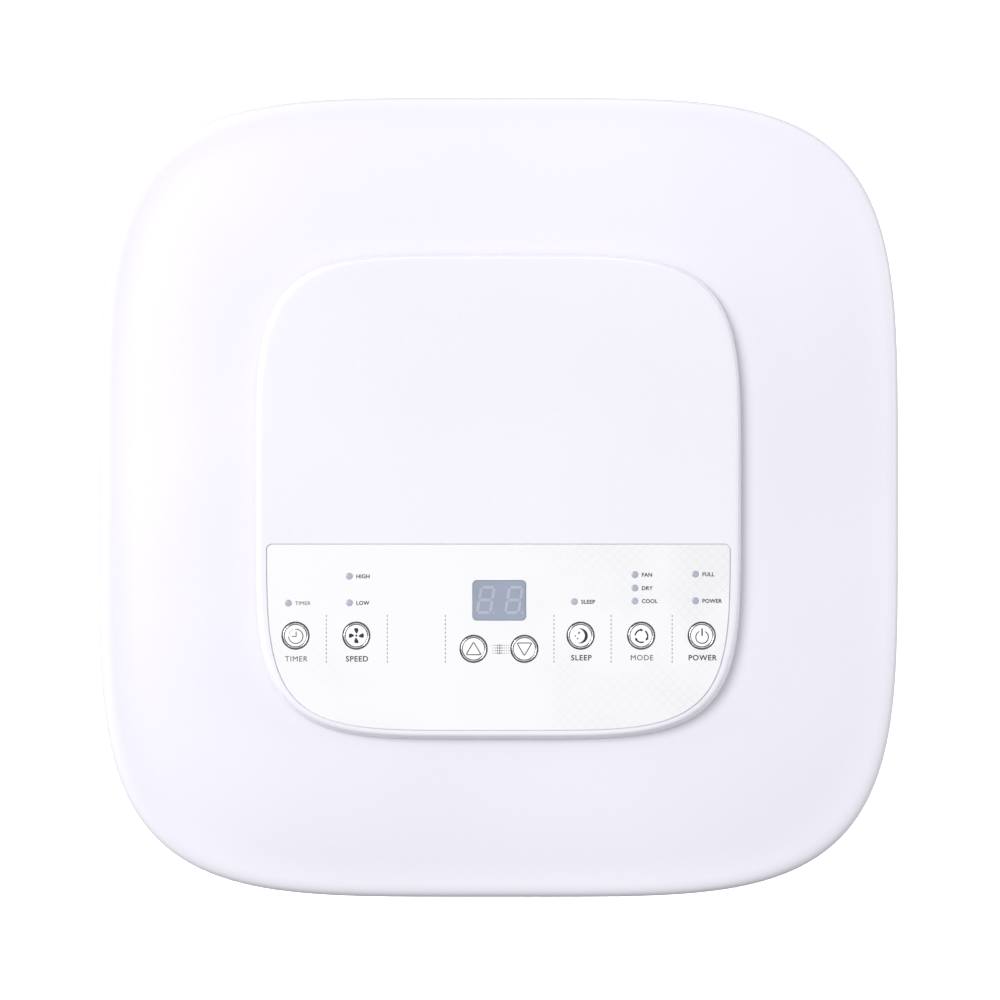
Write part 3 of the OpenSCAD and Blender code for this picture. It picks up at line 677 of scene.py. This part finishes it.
def stroke(points, width, closed=False):
    """The outline loops of a line of the given width, with round ends if it has ends."""
    count = len(points)
    left, right = [], []
    for i, (x, y) in enumerate(points):
        before = points[i - 1] if closed or i > 0 else points[i]
        after = points[(i + 1) % count] if closed or i < count - 1 else points[i]
        d1 = Vector((x - before[0], y - before[1]))
        d2 = Vector((after[0] - x, after[1] - y))
        d1 = d1.normalized() if d1.length > 1e-9 else d2.normalized()
        d2 = d2.normalized() if d2.length > 1e-9 else d1
        way = (d1 + d2).normalized() if (d1 + d2).length > 1e-6 else d1
        reach = width / 2 / max(0.4, way.dot(d1))
        left.append((x - way.y * reach, y + way.x * reach))
        right.append((x + way.y * reach, y - way.x * reach))
    if closed:
        return [left, right]
    return [left + stroke_end(points[-1], points[-2], width) + right[::-1]
            + stroke_end(points[0], points[1], width)]


def solid_from_curve(data, z):
    """The mesh of a curve or a text, raised by z, as a bmesh."""
    thing = add_object("shape", data)
    bpy.context.view_layer.update()
    graph = bpy.context.evaluated_depsgraph_get()
    bm = bmesh.new()
    take_mesh(bm, bpy.data.meshes.new_from_object(thing.evaluated_get(graph)))
    bpy.data.objects.remove(thing)
    bpy.data.curves.remove(data)
    bmesh.ops.remove_doubles(bm, verts=bm.verts, dist=1e-4)
    bmesh.ops.translate(bm, vec=(0, 0, z), verts=bm.verts)
    return bm


def flat_shape(loops, z0, thickness):
    """Closed loops filled even-odd and given a thickness, as a bmesh in millimetres."""
    data = bpy.data.curves.new("shape", "CURVE")
    data.dimensions = "2D"
    data.fill_mode = "BOTH"
    data.extrude = thickness / 2
    for loop in loops:
        spline = data.splines.new("POLY")
        spline.points.add(len(loop) - 1)
        for point, (x, y) in zip(spline.points, loop):
            point.co = (x, y, 0.0, 1.0)
        spline.use_cyclic_u = True
    return solid_from_curve(data, z0 + thickness / 2)


# --- top cover ---------------------------------------------------------------------


def dome_z(half):
    run = max(0.0, half - DOME_FLAT) / (COVER_HALF - RIM_INSET - DOME_FLAT)
    return SEAT_Z - (SEAT_Z - RIM_Z - RIM_RISE) * run ** 2


def top_cover():
    shoulder = COVER_HALF - RIM_INSET
    outside = [(COVER_HALF - 1.2, COVER_LOW), (COVER_HALF - 0.4, COVER_LOW + 0.8),
               (COVER_HALF, COVER_LOW + 3.0), (COVER_HALF, COVER_LOW + 16.0)]
    rim_steps = 18
    for i in range(1, rim_steps + 1):
        a = math.pi / 2 * i / rim_steps
        outside.append((shoulder + RIM_INSET * max(0.0, math.cos(a)) ** (2 / RIM_POWER),
                        RIM_Z + RIM_RISE * math.sin(a) ** (2 / RIM_POWER)))
    outside += [(half, dome_z(half)) for half in (160, 152, 144, 136, 128, 120, 114, DOME_FLAT)]
    outside.append((COVER_OPENING, SEAT_Z))
    under = [(COVER_OPENING, SEAT_Z - WALL), (120.0, SEAT_Z - WALL),
             (136.0, dome_z(136.0) - WALL), (152.0, dome_z(152.0) - WALL)]
    for i in range(7):
        a = math.pi / 2 * (1 - i / 6)
        under.append((shoulder - WALL + RIM_INSET * math.cos(a) - 3.0 * (1 - math.sin(a)),
                      RIM_Z - WALL + RIM_RISE * math.sin(a)))
    under += [(CASING_HALF - 2.0, CASING_HIGH), (CASING_HALF + 1.0, CASING_HIGH),
              (CASING_HALF + 1.0, COVER_LOW)]
    finish_shell("cover_shell", swept_bmesh(outside + under, COVER_POWER), ["top_cover"])


# --- control pod and film ------------------------------------------------------------


def film_outline(inset):
    """The film's edge: two small corners at the back, and the rounded square's front half."""
    half = FILM_HALF - inset
    corner_x, corner_y = half - FILM_CORNER, FILM_TOP_Y - inset - FILM_CORNER
    points = arc((corner_x, corner_y), FILM_CORNER, 0, 90, 8)
    points += arc((-corner_x, corner_y), FILM_CORNER, 90, 180, 8)
    left = math.pi - side_angle(corner_y, half, FILM_POWER)
    for t in even_angles(FILM_POWER, left, 3 * math.pi - left, 150)[1:-1]:
        x, y = on_outline(half, t, FILM_POWER)
        points.append((x, y if y > 0 else y * (1 + FILM_REACH / FILM_HALF)))
    return points


def panel_holes(z0, z1):
    holes = [ring_bmesh(at, 0, KEY_HOLE_R, z0, z1) for at in KEY_AT.values()]
    holes += [ring_bmesh(at, 0, LAMP_R + 0.08, z0, z1, 32) for at in LAMPS.values()]
    holes.append(prism_bmesh(round_rect(WINDOW_AT, WINDOW_W + 0.3, WINDOW_H + 0.3, 1.9), z0, z1))
    return holes


def control_pod():
    edge = 1.5
    side = POD_HALF - 1.1
    # the wall stands on a shadow gap
    gap, gap_top = POD_HALF - 1.6, SEAT_Z + 1.3
    outside = [(gap, SEAT_Z), (gap, gap_top), (POD_HALF - 0.2, gap_top),
               (POD_HALF + 0.1, SEAT_Z + 1.7), (side, POD_TOP - edge)]
    for i in range(1, 11):
        a = math.pi / 2 * i / 10
        outside.append((side - edge * (1 - math.cos(a)), POD_TOP - edge * (1 - math.sin(a))))
    outside.append((100.0, POD_TOP))
    hollow = stacked_bmesh([(POD_INNER, SEAT_Z - 2), (POD_INNER, POD_TOP - 2.6)], POD_POWER)
    recess = prism_bmesh(film_outline(-0.1), POD_TOP - FILM_T, POD_TOP + 1)
    bm = stacked_bmesh(outside, POD_POWER)
    for cutters in ([hollow], [recess], panel_holes(POD_TOP - 5, POD_TOP + 1)):
        bm = cut(bm, cutters)
    finish_mesh("pod_shell", bm, "pod", "casing", "pod_white", ["control_pod"], angle=32.0)
    lip_out, lip_low = POD_INNER + 1.8, SEAT_Z - 6
    lip = swept_bmesh([(lip_out, lip_low), (lip_out, SEAT_Z), (POD_INNER, SEAT_Z),
                       (POD_INNER, lip_low)], POD_POWER)
    finish_mesh("pod_lip", lip, "pod", "casing", "pod_white")


def control_film():
    bm = prism_bmesh(film_outline(0.34), POD_TOP - FILM_T, POD_TOP)
    bm = cut(bm, panel_holes(POD_TOP - 2, POD_TOP + 1))
    finish_mesh("film_overlay", bm, "film", "casing", "film_white", ["control_film"],
                bevel=0.12, angle=60.0)


def keys():
    foot = POD_TOP - 6
    flange = POD_TOP - 2.6
    flange_low, flange_top = flange - 1.8, flange - 0.3
    rest = KEY_TOP - 0.3
    ring_out, ring_in = KEY_R - 0.2, KEY_R - 1.05
    stem = ring_out - 0.1
    cap = [(0, foot), (stem, foot), (stem, flange_low), (KEY_FLANGE_R, flange_low),
           (KEY_FLANGE_R, flange_top), (stem, flange_top), (stem, rest - 0.3),
           (ring_in - 0.14, rest - 0.3), (ring_in - 0.2, rest), (ring_in - 0.5, rest + 0.05),
           (ring_in * 0.5, rest + 0.09), (0, rest + 0.1)]
    # the ring is half round on top and has a groove on either side of it, filled with dark ink as
    # painted shade
    middle, half_width, height = (ring_out + ring_in) / 2 - 0.02, 0.25, 0.16
    arch = [math.pi * i / 10 for i in range(11)]
    section = [(middle + half_width * math.cos(a), rest - 0.1 + height * math.sin(a)) for a in arch]
    section += [(middle - half_width, rest - 0.28), (middle + half_width, rest - 0.28)]
    groove_shade_rings = ((ring_in - 0.12, middle - half_width + 0.02, rest - 0.06),
               (middle + half_width - 0.02, ring_out + 0.02, rest - 0.1))
    for name, at in KEY_AT.items():
        body = "button_" + name
        finish_mesh("key_cap_" + name, lathe_bmesh(cap, at), "key", body, "key_white", [body],
                    angle=40.0)
        finish_mesh("key_ring_" + name, lathe_bmesh(section, at), "chrome", body, "key_white",
                    angle=45.0)
        # the dark ink ring in each groove is painted shade, not print
        shapes = [ring_bmesh(at, r0, r1, rest - 0.29, top) for r0, r1, top in groove_shade_rings]
        finish_mesh("key_groove_" + name, join(shapes), "ink", body, "key_white", angle=45.0)
        icon = join([flat_shape(loops, rest + 0.07, 0.06) for loops in ICONS[name](at)])
        finish_mesh("icon_" + name, icon, "ink", body, "key_white", angle=30.0)


# each icon is a list of shapes about at, and each shape is a list of loops


def icon_timer(at):
    dial = stroke(shifted(arc((0.1, -0.3), 3.15, 92, -176, 40), at), 0.38)
    hands = stroke(shifted([(0.25, 1.7), (0.25, -0.35), (-1.5, -0.35)], at), 0.38)
    pivot = (at[0] + 0.1, at[1] - 0.3)
    return [dial, hands] + [[dot(polar(pivot, 3.15, math.radians(v)), 0.22)]
                            for v in (115, 134, 153)]


def icon_speed(at):
    blade = [(0.85, -0.1), (1.7, 0.55), (2.6, 1.0), (3.1, 0.95), (3.3, 0.5), (3.3, -0.2),
             (3.1, -0.75), (2.7, -0.95), (1.8, -0.75), (1.1, -0.4)]
    parts = []
    for quarter in range(4):
        turn = math.radians(90 * quarter + 90)
        c, s = math.cos(turn), math.sin(turn)
        parts.append([[(at[0] + x * c - y * s, at[1] + x * s + y * c) for x, y in blade]])
    return parts + [[arc(at, 0.48, 0, 340, 17)]]


def icon_arrow(at, turn):
    """A triangle with rounded corners: turn is 1 for up and -1 for down."""
    side, rounding = 3.3, 0.7
    corners = [(0, side * 0.92), (-side, -side * 0.78), (side, -side * 0.78)]
    points = []
    for i, (x, y) in enumerate(corners):
        tip = Vector((x, y))
        p, q = (tip + Vector((other[0] - x, other[1] - y)).normalized() * rounding
                for other in (corners[i - 1], corners[(i + 1) % 3]))
        for k in range(5):
            f = k / 4
            point = p * (1 - f) ** 2 + tip * 2 * f * (1 - f) + q * f ** 2
            points.append((at[0] + point.x, at[1] + turn * point.y))
    return [stroke(points, 0.42, closed=True)]


def star(at, radius):
    reach = (radius, radius * 0.42)
    return [(at[0] + reach[i % 2] * math.sin(math.pi * i / 5),
             at[1] + reach[i % 2] * math.cos(math.pi * i / 5)) for i in range(10)]


def icon_sleep(at):
    outer = arc((-0.15, -0.1), 3.3, -112, 106, 34)
    inner = arc((-1.25, -0.05), 3.12, 84, -84, 28)
    stars = ((-0.7, 1.25, 0.72), (-2.35, -0.15, 0.5), (-1.35, -1.3, 0.52))
    return [[shifted(outer + inner, at)]] + [[star((at[0] + x, at[1] + y), r)] for x, y, r in stars]


def icon_mode(at):
    middle, radius, half_head = (0.1, -0.2), 2.75, 0.7
    parts = []
    for third in range(3):
        start = 96 - third * 120
        bow = arc(middle, radius, start + 72, start - 4, 14)
        parts.append(stroke(shifted(bow, at), 0.66))
        tip, back = math.radians(start - 24), math.radians(start + 2)
        head = [polar(middle, radius + half_head, back), polar(middle, radius - half_head, back),
                polar(middle, radius, tip)]
        parts.append([shifted(head, at)])
    return parts


def icon_power(at):
    bowl = stroke(shifted(arc((0.15, -0.65), 2.75, 120, 420, 40), at), 0.42)
    bar = stroke(shifted([(0.15, 3.0), (0.15, 0.1)], at), 0.6)
    return [bowl, bar]


ICONS = {"timer": icon_timer, "speed": icon_speed, "up": lambda at: icon_arrow(at, 1),
         "down": lambda at: icon_arrow(at, -1), "sleep": icon_sleep, "mode": icon_mode,
         "power": icon_power}

LAMP_WORDS = {"timer": "TIMER", "high": "HIGH", "low": "LOW", "sleep": "SLEEP", "fan": "FAN",
              "dry": "DRY", "cool": "COOL", "full": "FULL", "on": "POWER"}
KEY_WORD_DROP = {"timer": 10.1, "speed": 10.1, "sleep": 9.6, "mode": 9.6, "power": 9.6}


def word(text, at, cap, align, spacing):
    """A generic function word in plain capitals, cap millimetres high."""
    data = bpy.data.curves.new("word", "FONT")
    data.body = text
    data.size = cap / 0.73
    data.align_x = align
    data.space_character = spacing
    # a heavier stroke would fill in the narrow corners of an M
    data.offset = 0.0 if "M" in text else 0.055
    data.extrude = 0.02
    data.resolution_u = 4
    bm = solid_from_curve(data, POD_TOP + 0.02)
    bmesh.ops.translate(bm, vec=(at[0], at[1] - cap / 2, 0), verts=bm.verts)
    return bm


def panel_print():
    words = [word(LAMP_WORDS[name], (at[0] + 2.9, at[1]), 1.75, "LEFT", 1.05)
             for name, at in LAMPS.items()]
    words += [word(name.upper(), (KEY_AT[name][0] + 0.3, KEY_AT[name][1] - drop), 2.45,
                   "CENTER", 1.12) for name, drop in KEY_WORD_DROP.items()]
    finish_mesh("panel_words", join(words), "ink", "casing", "film_white", angle=30.0)
    outlines = [ring_bmesh(at, KEY_HOLE_R + 0.02, KEY_HOLE_R + 0.28, POD_TOP, PRINT_TOP)
                for at in KEY_AT.values()]
    finish_mesh("key_outlines", join(outlines), "ink", "casing", "film_white", angle=30.0)
    marks = []
    for x in (-75.6, -48.8, -23.3, 24.4, 49.5, 76.3):
        for dash in range(12):
            y = -52.1 - 1.82 * dash
            marks.append(box_bmesh((x - 0.17, y - 0.95, POD_TOP), (x + 0.17, y, PRINT_TOP)))
    # a halftone patch whose dots are largest near its third and fourth columns
    for row in range(4):
        for column in range(8):
            radius = 0.2 + 0.24 * math.exp(-((column - 2.8) / 1.3) ** 2)
            at = (-2.4 + 0.99 * column, -65.5 - 1.13 * row)
            marks.append(prism_bmesh(dot(at, radius), POD_TOP, PRINT_TOP))
    finish_mesh("panel_marks", join(marks), "ink_soft", "casing", "film_white", angle=30.0)


def digit_bar(mid, start, end, bar, slant):
    """The six-sided outline of one bar of a seven-segment digit."""
    a, b = Vector(start), Vector(end)
    way = (b - a).normalized()
    across = Vector((-way.y, way.x)) * bar / 2
    a, b = a + way * 0.25, b - way * 0.25
    shape = [a, a + way * bar / 2 + across, b - way * bar / 2 + across, b,
             b - way * bar / 2 - across, a + way * bar / 2 - across]
    return [(mid[0] + p.x + slant * p.y, mid[1] + p.y) for p in shape]


def display():
    bm = prism_bmesh(round_rect(WINDOW_AT, WINDOW_W, WINDOW_H, 1.8), POD_TOP - 2.0, POD_TOP - 0.1)
    finish_mesh("display_window", bm, "window", "casing", "window_grey", ["display_lens"],
                bevel=0.15, angle=60.0)
    slant, tall, wide, bar = 0.165, 12.3, 6.9, 1.2
    w, h = (wide - bar) / 2, (tall - bar) / 2
    ends = [((-w, y), (w, y)) for y in (h, 0, -h)]
    ends += [((x, y), (x, y - h)) for y in (h, 0) for x in (-w, w)]
    shapes = []
    for side in (-1, 1):
        mid = (WINDOW_AT[0] + side * 6.2 + 0.25, WINDOW_AT[1] + 0.2)
        shapes += [digit_bar(mid, start, end, bar, slant) for start, end in ends]
        shapes.append(dot((mid[0] + w + 0.7, mid[1] - h), 0.45))
    digits = join([prism_bmesh(shape, POD_TOP - 0.12, POD_TOP - 0.07) for shape in shapes])
    finish_mesh("display_digits", digits, "digit", "casing", "window_grey", angle=30.0)


def lamps():
    foot, shoulder = low("indicator_leds", 2), POD_TOP - 0.12
    profile = [(0, foot), (LAMP_R - 0.05, foot), (LAMP_R, foot + 0.3), (LAMP_R, shoulder)]
    profile += [(LAMP_R * math.cos(a), shoulder + 0.14 * math.sin(a))
                for a in (math.radians(v) for v in (25, 50, 70))]
    profile.append((0, POD_TOP + 0.02))
    pipes = join([lathe_bmesh(profile, at, 40) for at in LAMPS.values()])
    finish_mesh("lamp_pipes", pipes, "lamp", "casing", "lamp_grey", ["indicator_leds"], angle=50.0)


# --- casing ----------------------------------------------------------------------------


def grid_heights(z0, z1, step, stops=()):
    """Heights about a step apart, with each stop among them."""
    count = max(1, round((z1 - z0) / step))
    values = [z0 + (z1 - z0) * i / count for i in range(count + 1)]
    for stop in stops:
        nearest = min(range(1, count), key=lambda i: abs(values[i] - stop))
        values[nearest] = stop
    return sorted(set(values))


def seam_lips(name, seam):
    """The lips behind a seam that the side panels are screwed to."""
    start, end = (side_angle(y, CASING_INNER) for y in (seam - LIP_REACH, seam + LIP_REACH))
    for side in ("left", "right"):
        lip = panel_bmesh(even_angles(COVER_POWER, start, end, 12), grid_heights(*LIP_Z, 60),
                          outer=CASING_INNER - 0.3, inner=CASING_INNER - 2.6)
        finish_shell(name + "_lip_" + side, to_side(lip, side), bevel=0.3)


def front_panel():
    seam = side_angle(SEAM_Y - SEAM_GAP / 2)
    a, b = (2 * math.pi - rear_angle(x) for x in (-OUTLET_X, OUTLET_X))
    angles = even_angles(COVER_POWER, math.pi - seam, 2 * math.pi + seam, 150, (a, b))
    heights = grid_heights(CASING_LOW, CASING_HIGH, 22.0, OUTLET_Z)
    bm = panel_bmesh(angles, heights, [(a, b, *OUTLET_Z)])
    finish_shell("front_shell", bm, ["front_panel"], bevel=0.7, segments=3)
    seam_lips("front", SEAM_Y)


def side_panels():
    start, end = side_angle(SEAM_Y + SEAM_GAP / 2), side_angle(REAR_SEAM_Y - SEAM_GAP / 2)
    grip = side_angle(HANDLE_Y)
    angles = even_angles(COVER_POWER, start, end, 44, (-grip, grip))
    heights = grid_heights(CASING_LOW, CASING_HIGH, 15.0, HANDLE_Z)
    y, (z0, z1) = HANDLE_Y, HANDLE_Z
    for side in ("left", "right"):
        panel = panel_bmesh(angles, heights, [(-grip, grip, z0, z1)])
        finish_shell("side_shell_" + side, to_side(panel, side), ["side_panel_" + side],
                     bevel=0.7, segments=3)
        # the grip pocket moulded behind the opening
        block = box_bmesh((HANDLE_X, -y - 2, z0 - 2), (CASING_INNER + 0.9, y + 2, z1 + 2))
        hollow = box_bmesh((HANDLE_X + 2, -y - 0.1, z0 - 0.1), (CASING_HALF + 5, y + 0.1, z1 + 0.1))
        finish_shell("grip_pocket_" + side, to_side(cut(block, [hollow]), side), bevel=0.9,
                     segments=3)


def rear_panel():
    start = side_angle(REAR_SEAM_Y + SEAM_GAP / 2)
    intake = rear_angle(INTAKE_X)
    edges = (intake, math.pi - intake)
    angles = even_angles(COVER_POWER, start, math.pi - start, 150, edges)
    heights = grid_heights(CASING_LOW, CASING_HIGH, 15.0, (*UPPER_Z, LOWER_Z[1]))
    bm = panel_bmesh(angles, heights, [(*edges, *UPPER_Z), (*edges, LOWER_Z[0] - 3, LOWER_Z[1])])
    port = along_y(ring_bmesh((0, PORT_Z), 0, PORT_R + 4, 140, 190, 96))
    finish_shell("rear_shell", cut(bm, [port]), ["rear_panel"], bevel=0.7, segments=3)
    seam_lips("rear", REAR_SEAM_Y)


def grille(name, z, x, node, body):
    """An intake grille from -x to x with three columns of slots."""
    margin, slot, pitch, columns = 6.0, 5.0, 9.0, 3
    post = 4.0
    rows = int((z[1] - z[0] - 2 * margin) / pitch)
    first = (z[0] + z[1] - (rows - 1) * pitch) / 2
    column_w = (2 * x - 2 * margin) / columns
    spans = [sorted((rear_angle(-x + (margin + post / 2) + c * column_w),
                     rear_angle(-x + (margin - post / 2) + (c + 1) * column_w)))
             for c in range(columns)]
    start = rear_angle(x)
    angles = even_angles(COVER_POWER, start, math.pi - start, 48,
                         [angle for pair in spans for angle in pair])
    heights, holes = [z[0]], []
    for r in range(rows):
        slot_z = (first + r * pitch - slot / 2, first + r * pitch + slot / 2)
        heights += slot_z
        holes += [(*pair, *slot_z) for pair in spans]
    heights.append(z[1])
    finish_shell(name, panel_bmesh(angles, heights, holes), [node], body, bevel=0.5)


def base_pan():
    inner = PAN_HALF - WALL
    lip_top = CASING_LOW + 12
    profile = [(PAN_HALF - 1.6, PAN_LOW), (PAN_HALF - 0.5, PAN_LOW + 0.5),
               (PAN_HALF, PAN_LOW + 1.8), (PAN_HALF, CASING_LOW - 0.6),
               (PAN_HALF - 0.5, CASING_LOW), (PAN_HALF - 1.2, CASING_LOW),
               (PAN_HALF - 1.7, lip_top), (inner - 1.5, lip_top), (inner - 1.5, PAN_DECK + 3),
               (inner - 4.0, PAN_DECK), (2.0, PAN_DECK), (2.0, PAN_DECK - 3),
               (inner - 0.5, PAN_DECK - 3), (inner, PAN_DECK - 5), (inner, PAN_LOW + 0.6),
               (inner + 0.6, PAN_LOW)]
    finish_shell("pan_shell", swept_bmesh(profile, COVER_POWER), ["base_pan"])


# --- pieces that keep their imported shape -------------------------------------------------

KEPT = {
    "shell": ["outlet_frame", "exhaust_collar", "louver"] + [f"vane_{i}" for i in range(1, 6)],
    "dark": ["cord_gland", "float_stem", "vane_link", "upper_fan", "lower_fan"],
    "board": ["control_board"],
    "zinc": ["casing_screws"],
    "duct": ["partition_tray", "upper_scroll", "lower_scroll"],
    "fins": ["evaporator_fins", "condenser_fins"],
    "copper": ["evaporator_tubes", "condenser_tubes", "refrigerant_pipes"],
    "steel": ["upper_motor", "lower_motor"],
    "enamel": ["compressor"],
    "rubber": ["compressor_grommets", "drain_plug_upper", "drain_plug_lower"],
    "galvanised": ["electrical_box"],
    "filter": ["filter_upper"],
    "key": ["water_float"],
    "caster": [f"caster_{part}_{end}_{side}" for part in ("swivel", "wheels")
               for end in ("front", "rear") for side in ("left", "right")],
}
SHARP = ("evaporator_fins", "condenser_fins", "filter_upper", "casing_screws")


def dress_kept_nodes():
    for material, nodes in KEPT.items():
        for node in nodes:
            thing = NODES[node]
            dress(thing.data, material)
            thing.modifiers.new("weld", "WELD").merge_threshold = 0.00001
            if node not in SHARP:
                round_edges(thing, 0.4, 2, 40)
            thing.modifiers.new("split", "EDGE_SPLIT").split_angle = math.radians(40)


# --- stage ----------------------------------------------------------------------------------

LIGHT_AIM = Vector((0, 0, 0.6))


def area(name, at, size, power, colour=(1, 1, 1)):
    """A round lamp that points at the upper half of the object."""
    data = bpy.data.lights.new(name, "AREA")
    data.shape = "DISK"
    data.size = size
    data.energy = power
    data.color = colour
    light = add_object(name, data)
    light.location = at
    light.rotation_euler = (LIGHT_AIM - Vector(at)).to_track_quat("-Z", "Y").to_euler()
    return light


def light_only(lights, things):
    """Keeps the lights off everything but the things."""
    group = bpy.data.collections.new("lit_by_" + lights[0].name)
    bpy.context.scene.collection.children.link(group)
    for thing in things:
        group.objects.link(thing)
    for light in lights:
        light.light_linking.receiver_collection = group


def lay_floor():
    bm = bmesh.new()
    bmesh.ops.create_circle(bm, cap_ends=True, segments=96, radius=14.0)
    floor = add_object("floor", to_mesh(bm, "floor"))
    tree = Tree("pale_floor")
    pale = tree.mix(tree.noise(3.0), rgba((0.9, 0.9, 0.905)), rgba((0.93, 0.93, 0.935)))
    # the floor throws little of its own light back up at the object
    seen_by_camera = tree.add("LightPath").outputs["Is Camera Ray"]
    base = tree.mix(seen_by_camera, rgba((0.16, 0.15, 0.15)), pale)
    floor.data.materials.append(tree.finish(Base_Color=base, Roughness=0.7))
    return floor


def light_room():
    """The world: white to the camera, and to the object bright overhead and dark below."""
    tree = Tree("studio", "worlds")
    lean = tree.add("VectorMath", {0: tree.coordinates["Generated"], 1: (-0.05, 0.0, 1.0)},
                    operation="DOT_PRODUCT")
    level = tree.spread(lean.outputs["Value"], -0.1, 0.35, 0.04, 0.575)
    ambient = tree.add("Background", {"Color": rgba((0.97, 0.965, 1.0)), "Strength": level})
    seen = tree.add("Background", {"Color": rgba((1.0, 1.0, 1.0)), "Strength": 1.0})
    both = tree.add("MixShader", {0: tree.add("LightPath").outputs["Is Camera Ray"],
                                  1: ambient.outputs[0], 2: seen.outputs[0]})
    tree.feed(tree.nodes["World Output"].inputs["Surface"], both.outputs[0])
    bpy.context.scene.world = tree.owner


def stage():
    floor = lay_floor()
    area("key", (-3.1, 1.4, 5.2), 3.0, 194.0, (1.0, 0.995, 1.0))
    area("rim_left", (-2.2, 0.4, 0.9), 1.2, 14.0)
    area("rim_right", (2.2, 0.3, 0.9), 1.2, 16.0)
    area("back", (0.2, 2.4, 0.9), 1.4, 10.0)
    fills = [area("fill_left", (-1.8, -2.0, 1.2), 2.0, 22.0),
             area("fill_right", (2.0, -1.8, 1.2), 2.0, 14.0)]
    light_only(fills, [thing for thing in bpy.data.objects if thing.type == "MESH"
                       and not thing.name.startswith(("cover_", "pod_", "floor"))])
    sun_data = bpy.data.lights.new("floor_sun", "SUN")
    sun_data.energy = 3.6
    sun_data.angle = math.radians(4)
    light_only([add_object("floor_sun", sun_data)], [floor])
    light_room()
    bpy.context.scene.view_settings.view_transform = "Standard"


top_cover()
control_pod()
control_film()
keys()
panel_print()
display()
lamps()
front_panel()
side_panels()
rear_panel()
grille("upper_grille", (UPPER_Z[0] + 0.5, UPPER_Z[1] - 0.5), INTAKE_X - 0.5,
       "intake_grille_upper", "upper_intake")
grille("lower_grille", (LOWER_Z[0] + 0.3, LOWER_Z[1] - 0.3), INTAKE_X - 0.3,
       "intake_grille_lower", "casing")
base_pan()
dress_kept_nodes()
stage()
